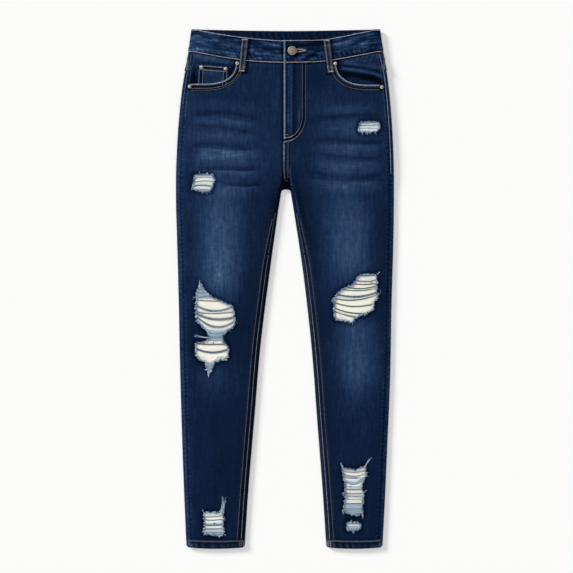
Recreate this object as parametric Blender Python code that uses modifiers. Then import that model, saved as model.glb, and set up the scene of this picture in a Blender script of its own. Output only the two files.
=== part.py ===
"""Ripped skinny jeans laid flat: five-pocket denim, torn and frayed at thighs, knees and ankles.

Frame: +X is towards the wearer's left, +Y towards the waist, +Z up from the surface they lie on.
The sizes below are in millimetres, and each mesh is scaled to metres when it is made.
Every cloth piece is a wall that follows one shared form: flat underneath, a low crown on top,
and a round fold along the leg edges, where the back panels come over to meet the fronts.
"""
import math
from collections import namedtuple

import bmesh
import bpy
from mathutils import Vector

MM = 0.001

# Cloth
WALL = 1.2              # one layer of denim
HEM_WALL = 2.0          # turned hem
BAND_WALL = 2.2         # doubled waistband
THIN_WALL = 1.0         # pocket facings, backing patches and loose threads
PATCH_WALL = 1.6        # back pockets and belt loops, with their turned edges
GAP = 0.3               # between neighbouring pieces

# The form that the layers share
BODY_EDGE = 5.4         # height of the folded edges
BODY_MIDDLE = 6.2       # height in the middle of a leg
CROWN_REACH = 35.0      # from an edge to the full height
EDGE_ROUND = 3.5        # half width of the fold along an edge
HIP_LIFT = PATCH_WALL + GAP     # the hips lie on the back pockets and loops
LIFT_TOP = 240.0        # y where that lift is full
LIFT_FOOT = 185.0       # y where it starts
BAND_PROUD = 0.8        # the waistband stands above the panels
STEP_LENGTH = 8.0       # a strip that crosses its edge steps down over this length
FOLD_ANGLES = (90.0, 54.0, 18.0, -18.0, -54.0, -90.0)   # round a fold, from on top to underneath

# Seams
CENTRE_X = 1.7          # centre front and centre back
OUTSEAM_INSET = 8.0     # outseam, in from the outer edge
INSEAM_INSET = 13.0     # inseam, in from the inner edge
INSEAM_CROTCH_INSET = 6.0       # and at the crotch
INSEAM_NARROWS = (30.0, 180.0)  # y between which it narrows
HEM_DEPTH = 16.0
HEM_END = -504.2        # hem line at the edges of a leg
HEM_BOW = 2.0           # and how far it bows in the middle
HEM_STEP = 3.2          # from two layers to one, above the hem
LEG_STEPS = 14          # levels from the hem to the foot of the crotch
HIP_STEPS = 5           # and from the crotch to the yoke
FRONT_SHARES = (0.0, 0.06, 0.2, 0.4, 0.6, 0.78, 0.9, 1.0)   # columns across a front panel
UNDER_SHARES = (0.2, 0.5, 0.8)                              # and across the flat underside
SMOOTH_ANGLE = 40.0     # edges sharper than this stay sharp when the walls are shaded smooth

# Crotch: the legs part at the top of a gap with a rounded end
GAP_TOP = 194.3
GAP_HALF_WIDTH = 9.3
GAP_ROUND = 4.8
CROTCH_ANGLES = (0.0, 35.0, 65.0, 90.0)
CROTCH_SPREAD = 30.0    # the rows that fan out from that end reach the outer edge over this height

# Waistband
BAND_HALF_WIDTH = 171.6         # from the centre to where its front edge reaches the back edge
BAND_CURVE = 1.8                # how sharply the front edges rise
FRONT_BAND_TOP = 486.2
FRONT_BAND_BOTTOM = 441.6
BAND_SIDE_TOP = 506.1
BAND_SIDE_BOTTOM = 464.8
BACK_BAND_DIP = 3.6             # the back edge is lower in the middle
LAP_EDGE_X = -2.8               # left end of the band and edge of the fly
LAP_UNDER_X = 38.0              # right end of the band, under the left one
LAP_RISE = BAND_WALL + GAP      # the left half is raised over that end
LAP_SLOPE = 25.0                # and comes down over this width
YOKE_SIDE_Y = 430.0
YOKE_CENTRE_Y = 386.0

# Fly: the left front laps over the right one, with the zip and its shield underneath
FLY_FOOT = 288.0                # y where the lap starts
FLY_LAP_TOP = 292.0             # y where it is full
FLY_UNDER_X = 4.0               # edge of the right front under the fly
FLY_RISE = WALL + GAP           # the left front is raised over the right
FLY_RISE_X = 16.0               # out to here
FLY_RISE_SLOPE = 30.0           # and comes down over this width
FLY_RISE_FOOT = 268.0           # and down to here
FLY_ROWS = (232.0, 262.0, FLY_FOOT, FLY_LAP_TOP)    # rows of the fronts from the crotch to the lap
SHIELD_LEFT_X = 34.0
SHIELD_RIGHT_X = -12.0
SHIELD_CORNER = 14.0
ZIP_CHAIN_X = (5.4, 11.4)
ZIP_CHAIN_DEPTH = 0.2           # top of the chain under the right front's surface
ZIP_TAPE_X = (-8.0, 24.0)
ZIP_TAPE_WALL = 0.8
ZIP_FOOT = 295.0
ZIP_TOP = 425.0
SLIDER_SIZE = (8.0, 10.0, 1.3)

# Front pockets: the mouth is part of a rounded square
MOUTH_CENTRE = 162.0
MOUTH_HALF_WIDTH = 64.5
MOUTH_TOP = 444.5
MOUTH_DEPTH = 46.0
MOUTH_ROUNDNESS = 2.5
FACING_UNDER = 14.0             # facing under the front panel, past the mouth
FACING_DROP = WALL + GAP + THIN_WALL + GAP
FACING_DIP = (0.6, 0.96)        # shares of the way to the mouth where the facing dips
COIN_OUTLINE = ((-168.0, 437.0), (-111.0, 433.0), (-114.0, 390.0), (-170.0, 390.0))

# Back pockets
POCKET_X = 98.0
POCKET_TOP = 390.0
POCKET_SHAPE = ((-64, 0), (64, 0), (58, -118), (0, -142), (-58, -118))

# A cutter reaches from under the garment to over it
CUT_LOW = -5.0
CUT_HIGH = 30.0

# Spacing of the grid lines that layers over each other share
POCKET_SPACING = 9.0
RIP_SPACING = 20.0
SHIELD_SPACING = 25.0

# Trim
LOOP_WIDTH = 12.5
BUTTON_X = 13.6
BUTTON_Y = 463.8
BUTTON_STEPS = 28
RIVET_STEPS = 14

# Turned pieces: radius and height, from the middle of the face out, down and in to the axis
BUTTON_PROFILE = ((0.0, 3.0), (3.0, 2.9), (6.0, 2.4), (6.7, 2.5), (7.6, 3.0), (8.5, 2.8),
                  (9.0, 2.0), (9.0, 1.2), (8.4, 0.6), (4.0, 0.0), (0.0, 0.0))
RIVET_PROFILE = ((0.0, 1.9), (1.0, 1.8), (1.6, 1.2), (2.3, 1.0), (3.3, 1.2), (4.25, 0.6),
                 (4.25, 0.0), (0.0, 0.0))
RIVET_RADIUS = max(radius for radius, height in RIVET_PROFILE)

Outer = namedtuple("Outer", "y right left")
OUTER_EDGES = (
    Outer(-506, -191.6, 189.3),
    Outer(-412, -195.5, 194.4),
    Outer(-318, -199.0, 198.6),
    Outer(-178, -203.3, 204.3),
    Outer(-37, -206.6, 207.0),
    Outer(103, -210.5, 211.0),
    Outer(203, -212.2, 212.3),
    Outer(290, -209.0, 210.0),
    Outer(368, -202.9, 204.7),
    Outer(427, -194.9, 197.7),
    Outer(466, -188.6, 191.0),
    Outer(506, -183.0, 185.4),
)

Inner = namedtuple("Inner", "y right left")
INNER_EDGES = (
    Inner(-506, -79.4, 81.1),
    Inner(-396, -72.1, 73.9),
    Inner(-256, -60.5, 63.1),
    Inner(-115, -48.6, 52.2),
    Inner(25, -31.3, 36.6),
    Inner(142, -15.1, 19.2),
    Inner(GAP_TOP - GAP_ROUND, CENTRE_X - GAP_HALF_WIDTH, CENTRE_X + GAP_HALF_WIDTH),
)

# Rips: a middle, and the outline of the torn hole about it
Rip = namedtuple("Rip", "name x y outline")
RIPS = (
    Rip("thigh_right", -162, 205,
        ((-16, 19), (19, 19), (27, 7), (17, -17), (3, -17), (-14, -13), (-20, -11), (-17, 11))),
    Rip("thigh_left", 165, 316,
        ((-17, 12), (20, 12), (21, 0), (16, -10), (-21, -11), (-22, 0))),
    Rip("knee_right", -141, -79,
        ((-24, 95), (-29, 77), (-33, 73), (-33, 22), (-26, 10), (-16, 0), (-10, -8), (-8, -14),
         (-11, -22), (-20, -25), (-31, -27), (-35, -33), (-34, -49), (-26, -63), (-13, -65), (-7, -98),
         (2, -69), (28, -59), (32, -52), (30, -32), (22, -24), (19, -15), (28, -5), (45, 9), (42, 42),
         (33, 50), (22, 54), (-6, 67), (-17, 81))),
    Rip("knee_left", 141, -19,
        ((4, 48), (38, 49), (40, 31), (40, 1), (32, -12), (32, -22), (21, -29), (-3, -39), (-9, -51),
         (-46, -40), (-47, -24), (-46, 1), (-38, 15), (-11, 29), (-3, 38))),
    Rip("ankle_right", -132, -448,
        ((-30, 15), (1, 12), (16, 44), (21, 35), (13, 13), (14, -24), (15, -31), (7, -36), (-27, -28))),
    Rip("ankle_left", 136, -379,
        ((-28, 40), (-20, 34), (-2, 30), (18, 36), (28, 51), (22, 37), (22, 18), (16, -5), (18, -23),
         (16, -43), (18, -63), (-10, -63), (-23, -53), (-20, -27), (-21, 4), (-26, 25))),
    Rip("ankle_left_small", 134, -463,
        ((-15, 9), (14, 9), (14, -9), (-15, -9))),
)

# Backing patches behind the rips: a plain rectangle with cut corners
Backing = namedtuple("Backing", "name left right bottom top")
BACKING_CORNER = 8.0
BACKINGS = (
    Backing("thigh_right", -194, -124, 176, 236),
    Backing("thigh_left", 131, 197, 293, 342),
    Backing("knee_right", -190, -85, -190, 26),
    Backing("knee_left", 83, 192, -81, 42),
    Backing("ankle_right", -172, -101, -486, -394),
    Backing("ankle_left", 97, 174, -484, -317),
)

Loop = namedtuple("Loop", "name top_x top_y foot_x foot_y")
FRONT_LOOPS = (
    Loop("belt_loop_front_right", -79.0, 488.0, -83.3, 423.0),
    Loop("belt_loop_front_left", 80.9, 488.0, 89.4, 421.5),
)

# A side loop: distance round the edge from its outermost line, above zero on the back
SideLoop = namedtuple("SideLoop", "name side top_round top_y foot_round foot_y")
SIDE_LOOPS = (
    SideLoop("belt_loop_side_right", -1, 14.0, 502.0, -1.0, 426.0),
    SideLoop("belt_loop_side_left", 1, 14.0, 502.0, -1.0, 427.0),
)

BACK_LOOP_FOOT_Y = 431.0

RivetPlace = namedtuple("RivetPlace", "name x y seat")
RIVETS = (
    RivetPlace("rivet_pocket_right_inner", -93.4, 440.0, "front"),
    RivetPlace("rivet_pocket_right_outer", -186.2, 394.6, "front"),
    RivetPlace("rivet_pocket_left_inner", 97.8, 439.4, "front"),
    RivetPlace("rivet_pocket_left_outer", 188.6, 393.2, "front"),
    RivetPlace("rivet_coin_right", -163.4, 432.2, "coin"),
    RivetPlace("rivet_coin_left", -115.8, 429.0, "coin"),
)

Skin = namedtuple("Skin", "point normal wall")
Station = namedtuple("Station", "outer_y edge normal has_fold")

DOWN = Vector((0.0, 0.0, -1.0))
UP = Vector((0.0, 0.0, 1.0))


# ---------------------------------------------------------------- scene and materials

def clear_scene():
    for old in list(bpy.data.objects):
        bpy.data.objects.remove(old, do_unlink=True)


def new_collection(name):
    collection = bpy.data.collections.new(name)
    bpy.context.scene.collection.children.link(collection)
    return collection


def principled(name, colour, roughness, metallic=0.0):
    """A Principled material; the colour is linear."""
    material = bpy.data.materials.new(name)
    material.use_nodes = True
    shader = material.node_tree.nodes["Principled BSDF"]
    shader.inputs["Base Color"].default_value = (*colour, 1.0)
    shader.inputs["Roughness"].default_value = roughness
    shader.inputs["Metallic"].default_value = metallic
    material.diffuse_color = (*colour, 1.0)
    return material


# ---------------------------------------------------------------- the shared form

def clamp(value, low=0.0, high=1.0):
    return max(low, min(high, value))


def smooth(value):
    """Zero to one with level ends."""
    t = clamp(value)
    return t * t * (3.0 - 2.0 * t)


def blend(start, end, share):
    return start + (end - start) * share


def along(table, field, y):
    """Reads a column of a table at y, on a smooth curve through its rows."""
    ys = [row.y for row in table]
    values = [getattr(row, field) for row in table]
    y = clamp(y, ys[0], ys[-1])
    i = 0
    while i < len(ys) - 2 and y > ys[i + 1]:
        i += 1

    def slope(k):
        low = max(k - 1, 0)
        high = min(k + 1, len(ys) - 1)
        return (values[high] - values[low]) / (ys[high] - ys[low])

    span = ys[i + 1] - ys[i]
    t = (y - ys[i]) / span
    return ((2 * t ** 3 - 3 * t ** 2 + 1) * values[i]
            + (t ** 3 - 2 * t ** 2 + t) * span * slope(i)
            + (3 * t ** 2 - 2 * t ** 3) * values[i + 1]
            + (t ** 3 - t ** 2) * span * slope(i + 1))


def outer_x(side, y):
    """Outer edge of the side: -1 is the wearer's right, 1 the left."""
    return along(OUTER_EDGES, "left" if side > 0 else "right", y)


def inner_x(side, y):
    return along(INNER_EDGES, "left" if side > 0 else "right", y)


def lift(y):
    """Height of the underside of the back panels."""
    return HIP_LIFT * smooth((y - LIFT_FOOT) / (LIFT_TOP - LIFT_FOOT))


def top(x, y):
    """Height of the outside of the fronts."""
    side = 1 if x > CENTRE_X else -1
    from_outer = side * (outer_x(side, y) - x)
    if y < GAP_TOP - GAP_ROUND:
        from_inner = side * (x - inner_x(side, y))
    else:
        beside = max(0.0, abs(x - CENTRE_X) - GAP_HALF_WIDTH)
        from_inner = math.hypot(beside, max(0.0, y - GAP_TOP))
    crown = 1.0
    for distance in (from_outer, from_inner):
        crown *= math.sin(math.pi / 2 * clamp(distance / CROWN_REACH))
    return lift(y) + BODY_EDGE + (BODY_MIDDLE - BODY_EDGE) * crown


def inseam_inset(y):
    foot, head = INSEAM_NARROWS
    return blend(INSEAM_INSET, INSEAM_CROTCH_INSET, smooth((y - foot) / (head - foot)))


def wall_at(y):
    """One layer, and two at the hem."""
    share = smooth((y - (HEM_DEPTH + HEM_END)) / HEM_STEP)
    return blend(HEM_WALL, WALL, share)


def hem_y(side, x):
    """The hem line bows down in the middle of each leg."""
    low = outer_x(side, HEM_END)
    high = inner_x(side, HEM_END)
    share = (x - low) / (high - low)
    return HEM_END - HEM_BOW * clamp(4.0 * share * (1.0 - share))


def band_share(x):
    return clamp(abs(x - CENTRE_X) / BAND_HALF_WIDTH) ** BAND_CURVE


def front_band_top(x):
    return blend(FRONT_BAND_TOP, BAND_SIDE_TOP, band_share(x))


def front_band_bottom(x):
    share = clamp(abs(x - CENTRE_X) / (BAND_HALF_WIDTH + OUTSEAM_INSET)) ** BAND_CURVE
    return blend(FRONT_BAND_BOTTOM, BAND_SIDE_BOTTOM, share)


def back_band_top(x):
    share = clamp(abs(x - CENTRE_X) / BAND_HALF_WIDTH)
    return BAND_SIDE_TOP - BACK_BAND_DIP * (1.0 - share ** 2)


def back_band_bottom(x):
    return back_band_top(x) - (BAND_SIDE_TOP - BAND_SIDE_BOTTOM)


def yoke_y(side, x):
    """The yoke seam runs straight from the side down to the centre back."""
    share = abs(x - CENTRE_X) / (abs(outer_x(side, YOKE_SIDE_Y) - CENTRE_X) - EDGE_ROUND)
    return blend(YOKE_CENTRE_Y, YOKE_SIDE_Y, clamp(share))


def fly_rise(x, y):
    """How far the left front is raised where it lies over the right one and the zip."""
    across = 1.0 - smooth((x - FLY_RISE_X) / FLY_RISE_SLOPE)
    return FLY_RISE * across * smooth((y - FLY_RISE_FOOT) / (FLY_FOOT - 2.0 - FLY_RISE_FOOT))


def lap_rise(x):
    """How far the left half of the waistband is raised over the end of the right one."""
    return LAP_RISE * (1.0 - smooth((x - LAP_UNDER_X - 2.0) / LAP_SLOPE))


# ---------------------------------------------------------------- skins, folds and walls

def fold_skin(edge, normal, angle, proud, wall):
    """A point on the round fold at an edge: -90 degrees is underneath, 90 on top."""
    top_point = edge - normal * EDGE_ROUND
    high = top(top_point.x, top_point.y) + proud
    low = lift(top_point.y)
    turn = math.radians(angle)
    half = (high - low) / 2
    reach = EDGE_ROUND * (1.0 - math.cos(turn))
    flat = edge - normal * reach
    point = Vector((flat.x, flat.y, low + half * (1.0 + math.sin(turn))))
    outward = Vector((normal.x * math.cos(turn) / EDGE_ROUND,
                      normal.y * math.cos(turn) / EDGE_ROUND,
                      math.sin(turn) / half))
    return Skin(point, outward.normalized(), wall)


def top_skin(x, y, rise, wall):
    return Skin(Vector((x, y, top(x, y) + rise)), UP, wall)


def under_skin(x, y, wall):
    return Skin(Vector((x, y, lift(y))), DOWN, wall)


def mesh_object(name, mesh, material, collection):
    mesh.materials.clear()
    mesh.materials.append(material)
    mesh.shade_smooth()
    mesh.set_sharp_from_angle(angle=math.radians(SMOOTH_ANGLE))
    made = bpy.data.objects.new(name, mesh)
    collection.objects.link(made)
    return made


def wall_object(name, grid, material, collection):
    """One closed wall through a grid of skin points; a missing point leaves its cells out."""
    points = []
    number = {}
    for i, row in enumerate(grid):
        for j, skin in enumerate(row):
            if skin is not None:
                number[i, j] = len(points)
                points.append(skin.point * MM)
                points.append((skin.point - skin.normal * skin.wall) * MM)
    faces = []
    uses = {}
    for i in range(len(grid) - 1):
        for j in range(len(grid[0]) - 1):
            corners = [(i, j), (i, j + 1), (i + 1, j + 1), (i + 1, j)]
            if not all(corner in number for corner in corners):
                continue
            ring = [number[corner] for corner in corners]
            faces.append(ring)
            faces.append([n + 1 for n in reversed(ring)])
            for a, b in zip(ring, ring[1:] + ring[:1]):
                uses.setdefault(frozenset((a, b)), []).append((a, b))
    for edge in uses.values():
        if len(edge) == 1:
            a, b = edge[0]
            faces.append([b, a, a + 1, b + 1])
    mesh = bpy.data.meshes.new(name)
    mesh.from_pydata(points, [], faces)
    shape = bmesh.new()
    shape.from_mesh(mesh)
    bmesh.ops.recalc_face_normals(shape, faces=shape.faces)
    shape.to_mesh(mesh)
    shape.free()
    return mesh_object(name, mesh, material, collection)


def outline_object(name, outline, low, high, material, collection):
    """A flat outline, extruded between two heights and made a closed mesh."""
    curve = bpy.data.curves.new(name, "CURVE")
    curve.dimensions = "2D"
    curve.fill_mode = "BOTH"
    curve.extrude = (high - low) / 2 * MM
    spline = curve.splines.new("POLY")
    spline.points.add(len(outline) - 1)
    for point, (x, y) in zip(spline.points, outline):
        point.co = (x * MM, y * MM, 0.0, 1.0)
    spline.use_cyclic_u = True
    guide = bpy.data.objects.new(name + "_outline", curve)
    collection.objects.link(guide)
    bpy.context.view_layer.update()
    evaluated = guide.evaluated_get(bpy.context.evaluated_depsgraph_get())
    mesh = bpy.data.meshes.new_from_object(evaluated)
    bpy.data.objects.remove(guide, do_unlink=True)
    shape = bmesh.new()
    shape.from_mesh(mesh)
    bmesh.ops.remove_doubles(shape, verts=shape.verts, dist=MM * 0.001)
    bmesh.ops.recalc_face_normals(shape, faces=shape.faces)
    shape.to_mesh(mesh)
    shape.free()
    made = mesh_object(name, mesh, material, collection)
    made.location.z = (high + low) / 2 * MM
    return made


def cut(target, cutter, operation="DIFFERENCE"):
    modifier = target.modifiers.new(cutter.name, "BOOLEAN")
    modifier.operation = operation
    modifier.object = cutter
    cutter.hide_render = True
    cutter.display_type = "WIRE"


def grid_lines(values, spacing):
    """Whole multiples of the spacing past both ends, so that layers over each other share them."""
    first = math.floor(min(values) / spacing - 0.1)
    last = math.ceil(max(values) / spacing + 0.1)
    return [k * spacing for k in range(first, last + 1)]


def layer_object(name, outline, height, wall, spacing, material, collection, cutters):
    """A layer under or over the fronts: a wall at the given height, trimmed to an outline."""
    xs = grid_lines([x for x, _ in outline], spacing)
    ys = grid_lines([y for _, y in outline], spacing)
    grid = [[Skin(Vector((x, y, height(x, y))), UP, wall) for x in xs] for y in ys]
    layer = wall_object(name, grid, material, collection)
    trim = outline_object("trim_" + name, outline, CUT_LOW, CUT_HIGH, material, cutters)
    cut(layer, trim, "INTERSECT")
    return layer


def grown(outline, distance):
    """The outline moved outwards by a distance, for a clearance."""
    area = sum(a[0] * b[1] - b[0] * a[1] for a, b in zip(outline, outline[1:] + outline[:1]))
    turn = 1.0 if area > 0 else -1.0
    moved = []
    for i, (x, y) in enumerate(outline):
        before = Vector(outline[i]) - Vector(outline[i - 1])
        after = Vector(outline[(i + 1) % len(outline)]) - Vector(outline[i])
        out = Vector((before.y, -before.x)).normalized() + Vector((after.y, -after.x)).normalized()
        out = out.normalized() * turn * distance
        moved.append((x + out.x, y + out.y))
    return moved


# ---------------------------------------------------------------- stations down a leg

def leg_levels():
    """Levels from the hem to the foot of the crotch."""
    hem_top = HEM_END + HEM_DEPTH
    foot = GAP_TOP - GAP_ROUND
    single = hem_top + HEM_STEP
    return [HEM_END, hem_top, single] + [blend(single, foot, k / LEG_STEPS) for k in range(1, LEG_STEPS)]


def crotch_edge(side, angle):
    """A point and its outward normal on the rounded end of the gap between the legs."""
    turn = math.radians(angle)
    foot = GAP_TOP - GAP_ROUND
    edge = Vector((CENTRE_X + side * GAP_HALF_WIDTH * math.cos(turn),
                   foot + GAP_ROUND * math.sin(turn)))
    normal = Vector((-side * math.cos(turn) / GAP_HALF_WIDTH, -math.sin(turn) / GAP_ROUND))
    return edge, normal.normalized()


def stations(side):
    """Where each level of a leg meets its inner edge, from the hem up to the crotch."""
    result = []
    for y in leg_levels():
        result.append(Station(y, Vector((inner_x(side, y), y)), Vector((-side, 0.0)), True))
    foot = GAP_TOP - GAP_ROUND
    for angle in CROTCH_ANGLES:
        edge, normal = crotch_edge(side, angle)
        if angle == CROTCH_ANGLES[-1]:
            edge = edge + Vector((side * GAP / 2, 0.0))
        result.append(Station(foot + CROTCH_SPREAD * angle / 90.0, edge, normal, True))
    return result


# ---------------------------------------------------------------- leg panels

def back_row(side, station, wall):
    """One row of a back panel: seam strip, outer fold, flat underside, inner fold, seam strip."""
    y = station.outer_y
    outer_edge = Vector((outer_x(side, y), y))
    out = Vector((side, 0.0))
    seam = outer_edge - out * OUTSEAM_INSET
    row = [top_skin(seam.x, seam.y, 0.0, wall)]
    row += [fold_skin(outer_edge, out, angle, 0.0, wall) for angle in FOLD_ANGLES]
    outer_foot = outer_edge - out * EDGE_ROUND
    if station.has_fold:
        inner_foot = station.edge - station.normal * EDGE_ROUND
    else:
        inner_foot = station.edge
    for share in UNDER_SHARES:
        flat = outer_foot.lerp(inner_foot, share)
        row.append(under_skin(flat.x, flat.y, wall))
    if station.has_fold:
        folds = [fold_skin(station.edge, station.normal, angle, 0.0, wall)
                 for angle in reversed(FOLD_ANGLES)]
        inseam = station.edge - station.normal * inseam_inset(station.edge.y)
        row += folds
        row.append(top_skin(inseam.x, inseam.y, 0.0, wall))
    else:
        row.append(under_skin(inner_foot.x, inner_foot.y, wall))
        row += [None] * len(FOLD_ANGLES)
    return row


def bow_hem(side, row):
    """Moves a row of skin points at the hem down to the bowed hem line."""
    bowed = []
    for skin in row:
        point = skin.point.copy()
        point.y = hem_y(side, point.x)
        bowed.append(Skin(point, skin.normal, skin.wall))
    return bowed


def build_back_panel(side, name, material, collection):
    grid = []
    for station in stations(side):
        row = back_row(side, station, wall_at(station.outer_y))
        if station.outer_y == HEM_END:
            row = bow_hem(side, row)
        grid.append(row)
    crotch = stations(side)[-1]
    centre = CENTRE_X + side * GAP / 2
    for step in range(1, HIP_STEPS + 1):
        share = step / HIP_STEPS
        outer_y = blend(crotch.outer_y, YOKE_SIDE_Y - GAP, share)
        inner_y = blend(crotch.edge.y + EDGE_ROUND, YOKE_CENTRE_Y - GAP, share)
        station = Station(outer_y, Vector((centre, inner_y)), Vector((0.0, 0.0)), False)
        grid.append(back_row(side, station, WALL))
    return wall_object(name, grid, material, collection)


def build_yoke(side, name, material, collection):
    """The yoke continues the back panel up to the waistband, round the outer edge too."""
    centre = CENTRE_X + side * GAP / 2
    out = Vector((side, 0.0))
    grid = []
    for step in range(4):
        share = step / 3
        side_y = blend(YOKE_SIDE_Y, BAND_SIDE_BOTTOM - GAP, share)
        edge = Vector((outer_x(side, side_y), side_y))
        seam = edge - out * OUTSEAM_INSET
        row = [top_skin(seam.x, seam.y, 0.0, WALL)]
        row += [fold_skin(edge, out, angle, 0.0, WALL) for angle in FOLD_ANGLES]
        foot_x = edge.x - side * EDGE_ROUND
        for across in (*UNDER_SHARES, 1.0):
            x = blend(foot_x, centre, across)
            y = blend(yoke_y(side, x), back_band_bottom(x) - GAP, share)
            row.append(under_skin(x, y, WALL))
        grid.append(row)
    return wall_object(name, grid, material, collection)


def front_inner_x(side, y):
    """Inner edge of a front above the crotch, where the left one laps over the right."""
    share = clamp((y - FLY_FOOT) / (FLY_LAP_TOP - FLY_FOOT))
    if side > 0:
        return blend(CENTRE_X + GAP / 2, LAP_EDGE_X, share)
    return blend(CENTRE_X - GAP / 2, FLY_UNDER_X, share)


def build_front_panel(side, name, material, collection, cutters):
    """A front leg: from seam to seam on top, cut away at the pocket mouth and the rips."""
    inset = OUTSEAM_INSET + GAP
    grid = []

    def add_row(y, inner, wall):
        outer = outer_x(side, y) - side * inset
        row = []
        for share in FRONT_SHARES:
            x = blend(outer, inner, share)
            rise = fly_rise(x, y) if side > 0 else 0.0
            row.append(top_skin(x, y, rise, wall))
        grid.append(row)

    for station in stations(side):
        seam = station.edge - station.normal * (inseam_inset(station.edge.y) + GAP)
        add_row(seam.y, seam.x, wall_at(seam.y))
    grid[0] = bow_hem(side, grid[0])
    for y in FLY_ROWS:
        add_row(y, front_inner_x(side, y), WALL)
    for share in (0.25, 0.5, 0.75, 1.0):
        side_y = blend(FLY_LAP_TOP, BAND_SIDE_BOTTOM - GAP, share)
        outer = outer_x(side, side_y) - side * inset
        row = []
        for across in FRONT_SHARES:
            x = blend(outer, front_inner_x(side, side_y), across)
            y = blend(FLY_LAP_TOP, front_band_bottom(x) - GAP, share)
            rise = fly_rise(x, y) if side > 0 else 0.0
            row.append(top_skin(x, y, rise, WALL))
        grid.append(row)
    panel = wall_object(name, grid, material, collection)
    mouth = outline_object("mouth_" + name, mouth_cut(side), CUT_LOW, CUT_HIGH, material, cutters)
    cut(panel, mouth)
    for rip in RIPS:
        if rip.x * side > 0:
            hole = grown(rip_outline(rip), GAP)
            cut(panel, outline_object("hole_" + rip.name, hole, CUT_LOW, CUT_HIGH, material, cutters))
    return panel


# ---------------------------------------------------------------- front pockets

def mouth_curve(side, wider):
    """The pocket mouth from the waistband round to the outseam, moved into the front panel."""
    curve = []
    steps = 10
    for step in range(steps + 1):
        turn = math.pi / 2 * step / steps
        across = math.cos(turn) ** (2 / MOUTH_ROUNDNESS)
        down = math.sin(turn) ** (2 / MOUTH_ROUNDNESS)
        curve.append((CENTRE_X + side * (MOUTH_CENTRE - (MOUTH_HALF_WIDTH + wider) * across),
                      MOUTH_TOP - (MOUTH_DEPTH + wider) * down))
    return curve


def mouth_cut(side):
    """What the mouth takes off the front panel's upper corner."""
    curve = mouth_curve(side, 0.0)
    beyond = 240.0 * side
    above = 480.0
    return [(curve[0][0], above)] + curve + [(beyond, curve[-1][1]), (beyond, above)]


def facing_height(side):
    """The facing meets the outseam flush and dips under the edge of the mouth."""
    def height(x, y):
        across = max(0.0, MOUTH_CENTRE - side * (x - CENTRE_X)) / MOUTH_HALF_WIDTH
        down = max(0.0, MOUTH_TOP - y) / MOUTH_DEPTH
        near = (across ** MOUTH_ROUNDNESS + down ** MOUTH_ROUNDNESS) ** (1 / MOUTH_ROUNDNESS)
        start, full = FACING_DIP
        return top(x, y) - FACING_DROP * smooth((near - start) / (full - start))
    return height


def seam_points(side, low, high):
    """Points up the outseam between two heights, just inside it."""
    steps = 5
    inset = OUTSEAM_INSET + GAP
    ys = [blend(low, high, k / steps) for k in range(steps + 1)]
    return [(outer_x(side, y) - side * inset, y) for y in ys]


def build_facing(side, name, material, collection, cutters):
    curve = mouth_curve(side, FACING_UNDER)
    inner = curve[0][0]
    outer_top = outer_x(side, BAND_SIDE_BOTTOM) - side * (OUTSEAM_INSET + GAP)
    waist = []
    steps = 6
    for step in range(1, steps + 1):
        x = blend(outer_top, inner, step / steps)
        waist.append((x, front_band_bottom(x) - GAP))
    outline = curve + seam_points(side, curve[-1][1], front_band_bottom(outer_top) - GAP) + waist
    return layer_object(name, outline, facing_height(side), THIN_WALL, POCKET_SPACING,
                        material, collection, cutters)


def build_coin_pocket(name, material, collection, cutters):
    """A small patch on the right facing, whose foot goes under the mouth's edge."""
    facing = facing_height(-1)

    def height(x, y):
        return facing(x, y) + GAP + THIN_WALL

    return layer_object(name, COIN_OUTLINE, height, THIN_WALL, POCKET_SPACING,
                        material, collection, cutters)


# ---------------------------------------------------------------- rips

def rip_outline(rip):
    return [(rip.x + x, rip.y + y) for x, y in rip.outline]


def build_threads(rip, material, collection, cutters):
    """The reach of the loose threads that cross a rip, a little below the front's surface."""
    def height(x, y):
        return top(x, y) - (WALL - THIN_WALL)

    return layer_object("threads_" + rip.name, rip_outline(rip), height, THIN_WALL, RIP_SPACING,
                        material, collection, cutters)


def build_backing(backing, material, collection, cutters):
    corner = BACKING_CORNER
    left, right, bottom, upper = backing[1:]
    outline = [(left + corner, bottom), (right - corner, bottom), (right, bottom + corner),
               (right, upper - corner), (right - corner, upper), (left + corner, upper),
               (left, upper - corner), (left, bottom + corner)]

    def height(x, y):
        return top(x, y) - WALL - GAP

    return layer_object("backing_" + backing.name, outline, height, THIN_WALL, RIP_SPACING,
                        material, collection, cutters)


# ---------------------------------------------------------------- waistband

def band_row_top(x, share, rise):
    y = blend(front_band_bottom(x), front_band_top(x), share)
    return top_skin(x, y, BAND_PROUD + rise, BAND_WALL)


def build_waistband(side, name, front_xs, material, collection):
    """Half of the waistband: along the front, round the side and back to the centre seam."""
    out = Vector((side, 0.0))
    columns = []
    shares = (0.0, 0.5, 1.0)
    for x in front_xs:
        rise = lap_rise(x) if side > 0 else 0.0
        columns.append([band_row_top(x, share, rise) for share in shares])
    for angle in FOLD_ANGLES:
        column = []
        for share in shares:
            y = blend(BAND_SIDE_BOTTOM, BAND_SIDE_TOP, share)
            edge = Vector((outer_x(side, y), y))
            proud = BAND_PROUD * smooth((angle + 90.0) / 180.0)
            column.append(fold_skin(edge, out, angle, proud, BAND_WALL))
        columns.append(column)
    centre = CENTRE_X + side * GAP / 2
    foot_x = outer_x(side, BAND_SIDE_BOTTOM) - side * 2 * OUTSEAM_INSET
    for across in (0.0, 0.25, 0.5, 0.75, 1.0):
        x = blend(foot_x, centre, across)
        columns.append([under_skin(x, blend(back_band_bottom(x), back_band_top(x), share), BAND_WALL)
                        for share in shares])
    return wall_object(name, columns, material, collection)


# ---------------------------------------------------------------- fly

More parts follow.
